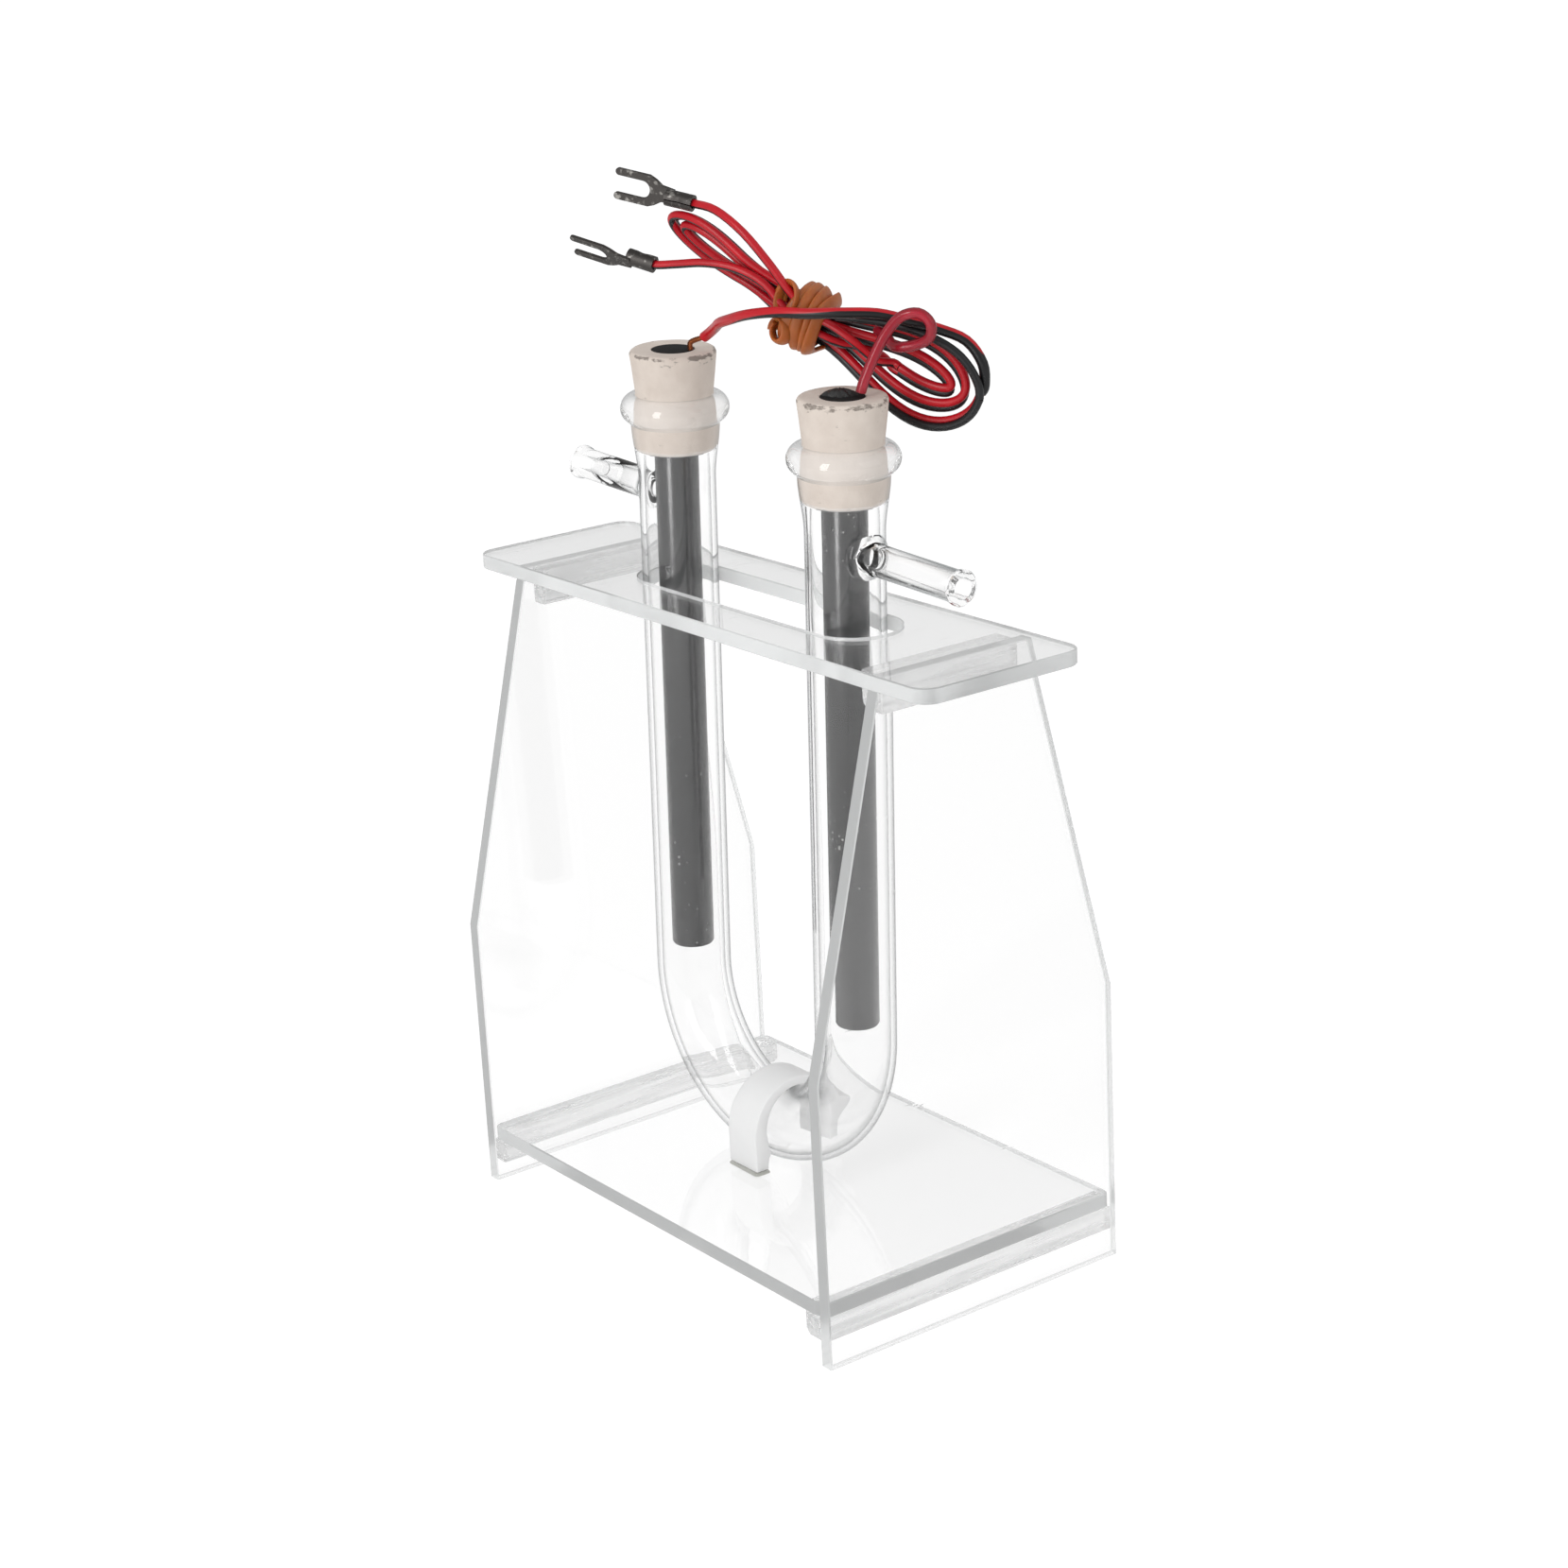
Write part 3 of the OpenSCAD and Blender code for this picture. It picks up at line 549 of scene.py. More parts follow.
def flex_twin(lead, name, low_left, low_right):
    """Bonded flex, extruded: red, and black where a face looks below a level.

    The level goes from one value at the stand's middle to the other 24 mm to the right.
    """
    def shade(tree, place):
        uneven, grain = extruded_pvc(tree, place)
        red = add_node(tree, "ShaderNodeMix", {
            0: uneven, 6: full(lead.red), 7: full(linear("#a30d1c"))}, data_type="RGBA").outputs[2]
        up = add_node(tree, "ShaderNodeSeparateXYZ", {
            0: add_node(tree, "ShaderNodeNewGeometry").outputs["Normal"]}).outputs["Z"]
        along = add_node(tree, "ShaderNodeSeparateXYZ", {0: place}).outputs["X"]
        level = add_node(tree, "ShaderNodeMapRange", {
            "Value": along, "From Min": 0.0, "From Max": 0.024, "To Min": low_left,
            "To Max": low_right}).outputs["Result"]
        low = add_node(tree, "ShaderNodeMath", {0: level, 1: up}, operation="SUBTRACT").outputs[0]
        under = add_node(tree, "ShaderNodeMapRange", {
            "Value": low, "From Min": -0.04, "From Max": 0.04}).outputs["Result"]
        return {"tint": (under, red, lead.black), "bump": grain}
    return new_finish(name, shade, Roughness=0.32, IOR=1.45)


def sleeve_pvc(lead):
    """Clear red PVC sleeve over the conductor: pinker seen square on, with painted dark red shade
    towards its outline, and a wet gloss.
    """
    def shade(tree, place):
        facing = add_node(tree, "ShaderNodeLayerWeight", {"Blend": 0.4}).outputs["Facing"]
        kinks = add_node(tree, "ShaderNodeTexNoise", {"Vector": place, "Scale": 420.0}).outputs[0]
        # Painted shade: the sleeve turns dark red towards its outline
        return {"tint": (facing, lead.sleeve_red, linear("#6d1020")), "bump": (kinks, 0.25, 3e-4)}
    return new_finish("pvc_sleeve_clear_red", shade, Roughness=0.2, IOR=1.54,
                      Transmission_Weight=0.45, Subsurface_Weight=0.3, Subsurface_Scale=0.001)


def band_rubber(lead):
    """Amber rubber band, cut from latex sheet: lets light through at its thin places."""
    def shade(tree, place):
        cloud = add_node(tree, "ShaderNodeTexNoise", {
            "Vector": place, "Scale": 480.0, "Detail": 4.0}).outputs[0]
        return {"tint": (cloud, lead.band, linear("#a8561f")), "bump": (cloud, 0.4, 2e-4)}
    return new_finish("latex_band_amber", shade, Roughness=0.42, IOR=1.52,
                      Transmission_Weight=0.15, Subsurface_Weight=0.3, Subsurface_Scale=0.001)


def fork_steel(lead):
    """Stamped steel, once tinned: dark grey, bright where the tin is rubbed."""
    def shade(tree, place):
        rub = add_node(tree, "ShaderNodeTexNoise", {
            "Vector": place, "Scale": 900.0, "Detail": 5.0}).outputs[0]
        bright = add_node(tree, "ShaderNodeMapRange", {
            "Value": rub, "From Min": 0.56, "From Max": 0.7}).outputs["Result"]
        return {"tint": (bright, lead.metal, linear("#a9a6a1")),
                "dull": (bright, 0.0, 1.0, 0.48, 0.25), "bump": (rub, 0.25, 1e-4)}
    return new_finish("steel_stamped_tinned", shade, Metallic=1.0)


# Paths of the wires, in the model's millimetres

# The hank's middle, and its own axes: along, back and up
HANK_AT = Vector((12, 8, 182))
HANK_TURN = Matrix.Rotation(math.radians(30), 3, "Z") @ Matrix.Rotation(math.radians(26), 3, "Y")
# Half its length, what a turn takes off that, the step between turns, and half the waist
HALF_LENGTH, STEP, ROW, WAIST = 34.0, 2.8, 2.5, 4.4
# How far each end bulges past the waist, and how far the sides spread
OPEN_END, FOLD_END, SPREAD = 10.2, 5.6, 2.1
# One core's width, the last turn's angle, and steps in a turn
WIRE, LAST_ANGLE, RINGS = 1.6, 765.0, 96
RED_SHIFT, BLACK_SHIFT = Vector((0, -1.05, 0)), Vector((0, -0.1, -1.25))
# The black core leaves the red one over the first part of a turn, and lies in front there
BLACK_ASIDE, ASIDE_ANGLE = Vector((0.6, -2.6, 0.6)), 130.0
# The folded end's turn, in degrees, the length it takes, and its lift
TWIST, TWIST_LENGTH, LIFT = 38.0, 17.0, 3.6
# Each fork's place on the hank's axes, and its turns about X, Y and Z
UPPER_FORK = ((-29, -3, 8.2), (96, 12, 30))
LOWER_FORK = ((-31, -5, -5), (-45, 16, 30))
LEFT_ROUTE = [
    (-15.9, 3.4, 175.9), (-11.9, 1.9, 177.6), (-6.4, -1.2, 179.4), (-0.9, -3.2, 180.9),
    (5.9, -3.9, 182.7), (12.8, -2.8, 183.8), (18.9, 0.1, 183.8), (23.9, 4.1, 183.9),
    (28, 9, 183.5), (31.6, 12.9, 182.1), (34.7, 17.3, 180.3), (38, 21, 178), (40.5, 22.5, 174),
]
RIGHT_ROUTE = [
    (31.2, 1.9, 170.9), (31.7, 2.4, 173), (32.3, 4, 176.5), (32.8, 6.5, 180.5),
    (34, 9.2, 183.5), (36.4, 11.4, 184.2), (38, 12.8, 182.4), (37.6, 12.9, 179.8),
    (35, 11.8, 178.3), (31.5, 10, 177.8),
    (28.6, 10.3, 179.1), (25.4, 10.9, 180),
]
BLACK_IN_ROUTE = [
    (5, -5.9, 3.0), (8.5, -5.8, 4.4), (13, -5.0, 5.9), (18, -4.5, 7), (23, -4.0, 7.4),
    (27.5, -3.6, 6.9), (31, -3.2, 5.3), (33.6, -2.9, 3.0),
]
RED_OUT_ROUTE = [
    (14.5, -2.9, -1.8), (12, -4.1, -0.9), (9, -5.1, 0.2), (5, -5.3, 0.8), (0, -5.3, 0.9),
    (-5, -5.8, 3), (-10, -6.2, 5.8), (-17, -6.4, 8.9), (-24, -4.6, 9.6),
]
BLACK_OUT_ROUTE = [
    (14.5, 1, -2), (12, -0.3, -1.4), (9.5, -1.6, -1.5), (7, -2.9, -2.1), (4.5, -4.5, -1.9),
    (0, -5.3, -1.5), (-5, -5.3, -0.4), (-10, -5.3, 1.8), (-16, -5.3, 1.9), (-22, -5.2, 0),
    (-27, -5, -2.8),
]
# The copper tail: half its width, its rise and reach, and which way it leans
TAIL_HALF, TAIL_RISE, TAIL_REACH, TAIL_BEARING = 0.55, 2.6, 2.9, 30
# How far a wire goes into a fork's barrel
CRIMPED = 2.7


def on_hank(point):
    """From the hank's own axes, along, back and up, to the stand's."""
    return HANK_AT + HANK_TURN @ Vector(point)


def swell(c):
    """0 at the waist and 1 at either end."""
    return c * c * (3 - 2 * abs(c))


def turn_point(degrees):
    """A turn runs from the open end, under the waist, round the fold and back over the waist."""
    turn, c, s = degrees / 360, math.cos(math.radians(degrees)), math.sin(math.radians(degrees))
    bulge = (OPEN_END - STEP * turn if c > 0 else FOLD_END - STEP * turn / 3) * swell(c)
    return Vector((
        (HALF_LENGTH - STEP * turn) * c,
        SPREAD * s * (1 - swell(c)),
        -s * (WAIST - ROW * turn + bulge),
    ))


def ease(s):
    """From 0 to 1, slow at both ends."""
    return s * s * (3 - 2 * s)


def laid(p):
    """The folded end is turned towards the front and lifted, as the bundle lies."""
    if p.x >= 0:
        return p
    turned = math.radians(TWIST * ease(min(1, -p.x / TWIST_LENGTH)))
    return Vector((p.x, p.y * math.cos(turned) - p.z * math.sin(turned),
                   p.y * math.sin(turned) + p.z * math.cos(turned)
                   + LIFT * ease(min(1, -p.x / HALF_LENGTH))))


def smooth(route, steps=4):
    """A smooth run through the route's points."""
    route = [Vector(p) for p in route]
    run = []
    for i in range(len(route) - 1):
        a, b, c = route[max(i - 1, 0)], route[i], route[i + 1]
        d = route[min(i + 2, len(route) - 1)]
        for k in range(steps):
            t = k / steps
            run.append((2 * b + (c - a) * t + (2 * a - 5 * b + 4 * c - d) * t * t
                        + (3 * b - a - 3 * c + d) * t * t * t) / 2)
    return run + [route[-1]]


def hank_line(shift, aside=Vector((0, 0, 0))):
    """The line of one colour's winding, which may start to one side of its place."""
    heading = (turn_point(LAST_ANGLE + 1) - turn_point(LAST_ANGLE - 1)).normalized()
    line = [turn_point(0) + shift + aside + Vector((0, 0, WIRE))]
    for k in range(int(LAST_ANGLE * RINGS / 360) + 1):
        degrees = 360 * k / RINGS
        off = aside * (1 - ease(min(1, degrees / ASIDE_ANGLE)))
        line.append(laid(turn_point(degrees) + shift + off))
    end = turn_point(LAST_ANGLE) + shift + WIRE * heading
    return [on_hank(p) for p in line + [end]], [on_hank(end), on_hank(end + WIRE * heading)]


def fork_heading(turn):
    """The way a fork points, on the stand's axes."""
    rise, bearing = math.radians(turn[1]), math.radians(turn[2])
    return Vector((-math.cos(rise) * math.cos(bearing), -math.cos(rise) * math.sin(bearing),
                   math.sin(rise)))


def rod_top(tube, electrode):
    """Height of the rods' and stoppers' tops on the tube's axes."""
    return tube.limb - electrode.stopper_in + electrode.stopper_height


def tail_points(tube, electrode):
    """The copper tail, up from the left-hand rod's edge and then aside."""
    bearing = math.radians(TAIL_BEARING)
    aside, up = Vector((math.cos(bearing), math.sin(bearing), 0)), Vector((0, 0, TAIL_RISE))
    foot = 1000 * Vector((-tube.bend, 0, rod_top(tube, electrode)))
    foot += (1000 * electrode.rod - TAIL_HALF) * aside
    place = tube_place(tube)
    return [place @ (p / 1000) * 1000 for p in (
        foot, foot + up / 2, foot + up * 3 / 4 + aside * TAIL_REACH / 3,
        foot + up + aside * TAIL_REACH)]


def wire_lines():
    """The middle line of every wire and of the copper tail, in metres."""
    scene = bpy.context.scene
    tail = tail_points(scene.utube_tube, scene.utube_electrode)
    red, red_end = hank_line(RED_SHIFT)
    black, black_end = hank_line(BLACK_SHIFT, BLACK_ASIDE)
    above = on_hank(turn_point(0) + RED_SHIFT + Vector((0, 0, 2 * WIRE)))
    lines = {
        "tail": smooth(tail, 6),
        "hank_red": red,
        "hank_black": black,
        "lead_left": smooth([tail[-1], *LEFT_ROUTE, above, red[0]]),
        "lead_right": smooth(RIGHT_ROUTE),
        "lead_black": smooth([*map(on_hank, BLACK_IN_ROUTE), black[0]]),
    }
    for name, route, end, (at, turn) in (
        ("terminal_lead_red", RED_OUT_ROUTE, red_end, UPPER_FORK),
        ("terminal_lead_black", BLACK_OUT_ROUTE, black_end, LOWER_FORK),
    ):
        seat = on_hank(at)
        crimp = seat + CRIMPED * fork_heading(turn)
        lines[name] = smooth([*end, *map(on_hank, route), seat, crimp])
    return {name: [p / 1000 for p in line] for name, line in lines.items()}


def tube_place(tube):
    """From the tube's own axes, the middle of the bend and +Z along the limbs, to the stand's."""
    middle = Matrix.Translation((tube.bend_x, 0, tube.bend_z))
    return middle @ Matrix.Rotation(tube.lean, 4, "Y")


# Geometry Nodes trees, and what they grow on

def path_mesh(name, lines):
    """Loose lines for a Geometry Nodes tree to follow."""
    points, edges = [], []
    for line in lines:
        edges += [(len(points) + k, len(points) + k + 1) for k in range(len(line) - 1)]
        points += [tuple(p) for p in line]
    mesh = bpy.data.meshes.new(name)
    mesh.from_pydata(points, edges, [])
    piece = bpy.data.objects.new(name, mesh)
    bpy.context.scene.collection.objects.link(piece)
    return piece


def new_tree(name, inputs):
    """An empty Geometry Nodes tree with named inputs."""
    tree = bpy.data.node_groups.new(name, "GeometryNodeTree")
    tree.interface.new_socket("Geometry", in_out="INPUT", socket_type="NodeSocketGeometry")
    for label, kind in inputs:
        tree.interface.new_socket(label, in_out="INPUT", socket_type="NodeSocket" + kind)
    tree.interface.new_socket("Geometry", in_out="OUTPUT", socket_type="NodeSocketGeometry")
    return tree, tree.nodes.new("NodeGroupInput").outputs


def end_tree(tree, geometry, finish):
    """Smooth faces, real instances and a material close the tree."""
    even = add_node(tree, "GeometryNodeSetShadeSmooth", {"Geometry": geometry})
    real = add_node(tree, "GeometryNodeRealizeInstances", {0: even.outputs[0]})
    dressed = add_node(tree, "GeometryNodeSetMaterial", {0: real.outputs[0], "Material": finish})
    add_node(tree, "NodeGroupOutput", {0: dressed.outputs[0]})
    return tree


def grow(piece, tree, values):
    """Turn the piece into what a tree makes of its lines."""
    modifier = piece.modifiers.new(tree.name, "NODES")
    modifier.node_group = tree
    for item in tree.interface.items_tree:
        if item.in_out == "INPUT" and item.name in values:
            modifier[item.identifier] = values[item.name]
    applied(piece)


def flat_strand_tree():
    """A flat strand along each line, starting at one tilt and turning over as it goes."""
    tree, given = new_tree("flat_strand", [
        ("Width", "Float"), ("Thickness", "Float"), ("Start", "Float"), ("Twist", "Float"),
        ("Finish", "Material")])
    line = add_node(tree, "GeometryNodeMeshToCurve", {0: given["Geometry"]}).outputs[0]
    along = add_node(tree, "GeometryNodeSplineParameter").outputs["Factor"]
    turn = add_node(tree, "ShaderNodeMath", {
        0: along, 1: given["Twist"], 2: given["Start"]}, operation="MULTIPLY_ADD")
    tilted = add_node(tree, "GeometryNodeSetCurveTilt", {"Curve": line, "Tilt": turn.outputs[0]})
    round_one = add_node(tree, "GeometryNodeCurvePrimitiveCircle", {
        "Resolution": 14, "Radius": 0.5})
    size = add_node(tree, "ShaderNodeCombineXYZ", {
        "X": given["Width"], "Y": given["Thickness"], "Z": 1.0}).outputs[0]
    flat = add_node(tree, "GeometryNodeTransform", {0: round_one.outputs[0], "Scale": size})
    swept = add_node(tree, "GeometryNodeCurveToMesh", {
        "Curve": tilted.outputs[0], "Profile Curve": flat.outputs[0], "Fill Caps": True})
    return end_tree(tree, swept.outputs[0], given["Finish"])


def twisted_strands_tree():
    """Strands laid round each line at even steps and twisted together."""
    tree, given = new_tree("twisted_strands", [
        ("Strands", "Int"), ("Lay radius", "Float"), ("Strand radius", "Float"),
        ("Turns", "Float"), ("Finish", "Material")])
    line = add_node(tree, "GeometryNodeMeshToCurve", {0: given["Geometry"]}).outputs[0]
    copies = add_node(tree, "GeometryNodeDuplicateElements", {
        0: line, "Amount": given["Strands"]}, domain="SPLINE")
    along = add_node(tree, "GeometryNodeSplineParameter").outputs["Factor"]
    share = add_node(tree, "ShaderNodeMath", {
        0: copies.outputs[1], 1: given["Strands"]}, operation="DIVIDE").outputs[0]
    wound = add_node(tree, "ShaderNodeMath", {
        0: along, 1: given["Turns"], 2: share}, operation="MULTIPLY_ADD").outputs[0]
    angle = add_node(tree, "ShaderNodeMath", {0: wound, 1: 2 * math.pi}, operation="MULTIPLY")
    normal = add_node(tree, "GeometryNodeInputNormal").outputs[0]
    tangent = add_node(tree, "GeometryNodeInputTangent").outputs[0]
    sideways = add_node(tree, "ShaderNodeVectorRotate", {
        "Vector": normal, "Axis": tangent, "Angle": angle.outputs[0]})
    offset = add_node(tree, "ShaderNodeVectorMath", {
        0: sideways.outputs[0], "Scale": given["Lay radius"]}, operation="SCALE")
    placed = add_node(tree, "GeometryNodeSetPosition", {
        "Geometry": copies.outputs[0], "Offset": offset.outputs[0]})
    section = add_node(tree, "GeometryNodeCurvePrimitiveCircle", {
        "Resolution": 10, "Radius": given["Strand radius"]})
    swept = add_node(tree, "GeometryNodeCurveToMesh", {
        "Curve": placed.outputs[0], "Profile Curve": section.outputs[0], "Fill Caps": True})
    return end_tree(tree, swept.outputs[0], given["Finish"])


# Operators, one for each piece or group of like pieces

class MakeStage(bpy.types.Operator):
    """Camera at the photograph's place, white floor, soft studio light"""
    bl_idname = "utube.make_stage"
    bl_label = "Stage"

    # The camera's place and axes, solved from the photograph
    EYE, RIGHT, UP, AHEAD = (Vector(p) for p in (
        (0.4939, -0.3604, 0.2904), (0.6053, 0.7945, -0.0494), (-0.2190, 0.2259, 0.9492),
        (-0.7653, 0.5638, -0.3107)))
    SENSOR, CLIP = 36.0, (0.01, 20.0)
    # How much of the white and of the ambient light a reflection shows
    WHITE_MIRRORED, AMBIENT_MIRRORED = 0.15, 0.5
    # The floor's glow is low near the middle, where the lamps reach it, and higher far out
    GLOW_NEAR, GLOW_FAR, GLOW_FROM, GLOW_TO = 0.37, 0.48, 0.2, 1.5
    FLOOR_RADIUS, FLOOR_SIDES, FLOOR_SHADE = 4.0, 64, 0.8
    # Size and place of the lamps, and what they point at
    KEY, FILL = ((0.35, 1.1), (0.30, -1.21, 0.56)), ((1.2, 1.2), (1.5, 0.55, 0.9))
    AIM = Vector((0, 0, 0.1))

    def execute(self, context):
        stage = context.scene.utube_stage
        context.scene.view_settings.view_transform = "Standard"
        self.camera(context, stage)
        self.world(context, stage)
        self.floor(context)
        for name, watts, (size, at) in (("key_lamp", stage.key, self.KEY),
                                        ("fill_lamp", stage.fill, self.FILL)):
            lamp = bpy.data.lights.new(name, "AREA")
            lamp.shape, lamp.energy = "RECTANGLE", watts
            lamp.size, lamp.size_y = size
            placed = bpy.data.objects.new(name, lamp)
            placed.location = at
            placed.rotation_mode = "QUATERNION"
            placed.rotation_quaternion = (self.AIM - Vector(at)).to_track_quat("-Z", "Y")
            context.scene.collection.objects.link(placed)
        return {"FINISHED"}

    def camera(self, context, stage):
        eye = bpy.data.cameras.new("camera")
        eye.lens, eye.sensor_width = stage.lens, self.SENSOR
        eye.clip_start, eye.clip_end = self.CLIP
        camera = bpy.data.objects.new("camera", eye)
        axes = (self.RIGHT.normalized(), self.UP.normalized(), -self.AHEAD.normalized())
        turned = Matrix(axes).transposed().to_4x4()
        camera.matrix_world = Matrix.Translation(self.EYE) @ turned
        context.scene.collection.objects.link(camera)
        context.scene.camera = camera

    def world(self, context, stage):
        world = bpy.data.worlds.new("studio")
        context.scene.world = world
        world.use_nodes = True
        tree = world.node_tree
        tree.nodes.clear()
        path = add_node(tree, "ShaderNodeLightPath").outputs
        level = add_node(tree, "ShaderNodeMapRange", {
            "Value": path["Is Glossy Ray"], "To Min": stage.ambient,
            "To Max": stage.ambient * self.AMBIENT_MIRRORED}).outputs["Result"]
        light = add_node(tree, "ShaderNodeBackground", {0: (1, 1, 1, 1), 1: level})
        white = add_node(tree, "ShaderNodeBackground", {0: (1, 1, 1, 1), 1: 1.0})
        mixed = add_node(tree, "ShaderNodeMixShader", {
            0: self.seen(tree, path), 1: light.outputs[0], 2: white.outputs[0]})
        add_node(tree, "ShaderNodeOutputWorld", {0: mixed.outputs[0]})

    def floor(self, context):
        """White paper: its diffuse part keeps the shadow, and a little glow lifts it to white."""
        paper = bpy.data.materials.new("paper_white")
        paper.use_nodes = True
        tree = paper.node_tree
        tree.nodes.clear()
        path = add_node(tree, "ShaderNodeLightPath").outputs
        matt = add_node(tree, "ShaderNodeBsdfDiffuse", {0: full([self.FLOOR_SHADE] * 3)})
        away = add_node(tree, "ShaderNodeVectorMath", {
            0: add_node(tree, "ShaderNodeTexCoord").outputs["Object"]}, operation="LENGTH")
        lift = add_node(tree, "ShaderNodeMapRange", {
            "Value": away.outputs["Value"], "From Min": self.GLOW_FROM, "From Max": self.GLOW_TO,
            "To Min": self.GLOW_NEAR, "To Max": self.GLOW_FAR}).outputs["Result"]
        level = add_node(tree, "ShaderNodeMath", {0: self.seen(tree, path), 1: lift},
                         operation="MULTIPLY").outputs[0]
        glow = add_node(tree, "ShaderNodeEmission", {0: (1, 1, 1, 1), 1: level})
        both = add_node(tree, "ShaderNodeAddShader", {0: matt.outputs[0], 1: glow.outputs[0]})
        add_node(tree, "ShaderNodeOutputMaterial", {0: both.outputs[0]})
        rim = ring(Vector((0, 0, 0)), Vector((1, 0, 0)), Vector((0, 1, 0)), self.FLOOR_RADIUS,
                   self.FLOOR_SIDES)
        mesh = bpy.data.meshes.new("floor")
        mesh.from_pydata([tuple(p) for p in rim], [], [tuple(range(self.FLOOR_SIDES))])
        mesh.materials.append(paper)
        floor = bpy.data.objects.new("floor", mesh)
        context.scene.collection.objects.link(floor)

    def seen(self, tree, path):
        """1 for a ray that shows the background straight on or through glass, less in a mirror."""
        mirrored = add_node(tree, "ShaderNodeMath", {
            0: path["Is Glossy Ray"], 1: self.WHITE_MIRRORED}, operation="MULTIPLY").outputs[0]
        two = add_node(tree, "ShaderNodeMath", {
            0: path["Is Camera Ray"], 1: mirrored}, operation="MAXIMUM").outputs[0]
        return add_node(tree, "ShaderNodeMath", {
            0: two, 1: path["Is Transmission Ray"]}, operation="MAXIMUM").outputs[0]


class MakeTerminals(bpy.types.Operator):
    """Two stamped fork terminals with rolled barrels"""
    bl_idname = "utube.make_terminals"
    bl_label = "Fork terminals"

    ARRIS, PRONG_STEPS, GAP_STEPS = 0.00012, 8, 12
    # The shoulder: distance behind the gap's root, and share of the half width
    SHOULDER = ((-0.0002, 1.0), (0.0011, 0.82), (0.0024, 0.53))
    # The neck's distance and half width, then the half width of the tongue and its way in
    NECK_AT, NECK, TONGUE, TONGUE_IN = 0.0032, 0.0015, 0.0013, 0.001
    # The rolled sheet starts at the seam and goes round by this many degrees
    SEAM, ROLLED, BARREL_SIDES, BARREL_STEPS = 94, 352, 36, 14
    # Its bore, and depth and length, in shares of the barrel's, of its pinch and its flare
    BORE, PINCH, PINCH_LENGTH, FLARE, FLARE_LENGTH = 0.00085, 0.00022, 0.16, 0.00012, 0.12

    def execute(self, context):
        lead = context.scene.utube_lead
        finish = fork_steel(lead)
        for name, (at, turn) in (("upper", UPPER_FORK), ("lower", LOWER_FORK)):
            place = Matrix.Translation(on_hank(at) / 1000)
            for axis, k in (("Z", 2), ("Y", 1), ("X", 0)):
                place = place @ Matrix.Rotation(math.radians(turn[k]), 4, axis)
            piece = sheet_piece("blank", self.blank(lead), -lead.barrel_radius,
                                -lead.barrel_radius + lead.fork_sheet, self.ARRIS, place, [finish])
            for face in piece.data.polygons:
                face.material_index = 0
            points, faces = skin(self.barrel(lead, place))
            rolled = new_mesh("barrel", points, faces, [finish])
            join(piece, rolled, "UNION")
            piece.name = "fork_terminal_" + name + "_stamped"
            hand_over(piece, "electrode_left", "terminal", "fork_terminal_" + name)
        return {"FINISHED"}

    def blank(self, lead):
        """The outline of the stamped fork, counter-clockwise, the prongs towards -X."""
        tip, root = -lead.fork_length, -lead.fork_length + lead.fork_depth
        half, gap = lead.fork_width / 2, lead.fork_gap / 2
        prong = (half - gap) / 2
        outline = []
        for t in sweep(90, 180, self.PRONG_STEPS):
            outline.append(Vector((tip + prong + prong * math.cos(t),
                                   gap + prong + prong * math.sin(t))))
        for t in sweep(90, -180, self.GAP_STEPS):
            outline.append(Vector((root - gap + gap * math.cos(t), gap * math.sin(t))))
        outline += [Vector((p.x, -p.y)) for p in outline[self.PRONG_STEPS::-1]]
        back = [Vector((root + x, half * share)) for x, share in self.SHOULDER]
        back += [Vector((root + self.NECK_AT, self.NECK)),
                 Vector((-lead.barrel_length + self.TONGUE_IN, self.TONGUE))]
        return outline + [Vector((p.x, -p.y)) for p in back] + back[::-1]

    def barrel(self, lead, place):
        """Sections of the rolled barrel along its length, open at the seam and pinched midway."""
        turns, rings = sweep(self.SEAM, self.ROLLED, self.BARREL_SIDES), []
        for along in shares(self.BARREL_STEPS):
            pinch = self.PINCH * math.exp(-((along - 0.5) / self.PINCH_LENGTH) ** 2)
            bore = self.BORE + self.FLARE * max(0.0, 1 - along / self.FLARE_LENGTH)
            radii = [lead.barrel_radius - pinch * max(0.0, math.sin(t)) ** 2 for t in turns]
            radii += [bore] * len(turns)
            rings.append([place @ Vector((-lead.barrel_length * along, r * math.cos(t),
                                          r * math.sin(t)))
                          for r, t in zip(radii, turns + turns[::-1])])
        return rings


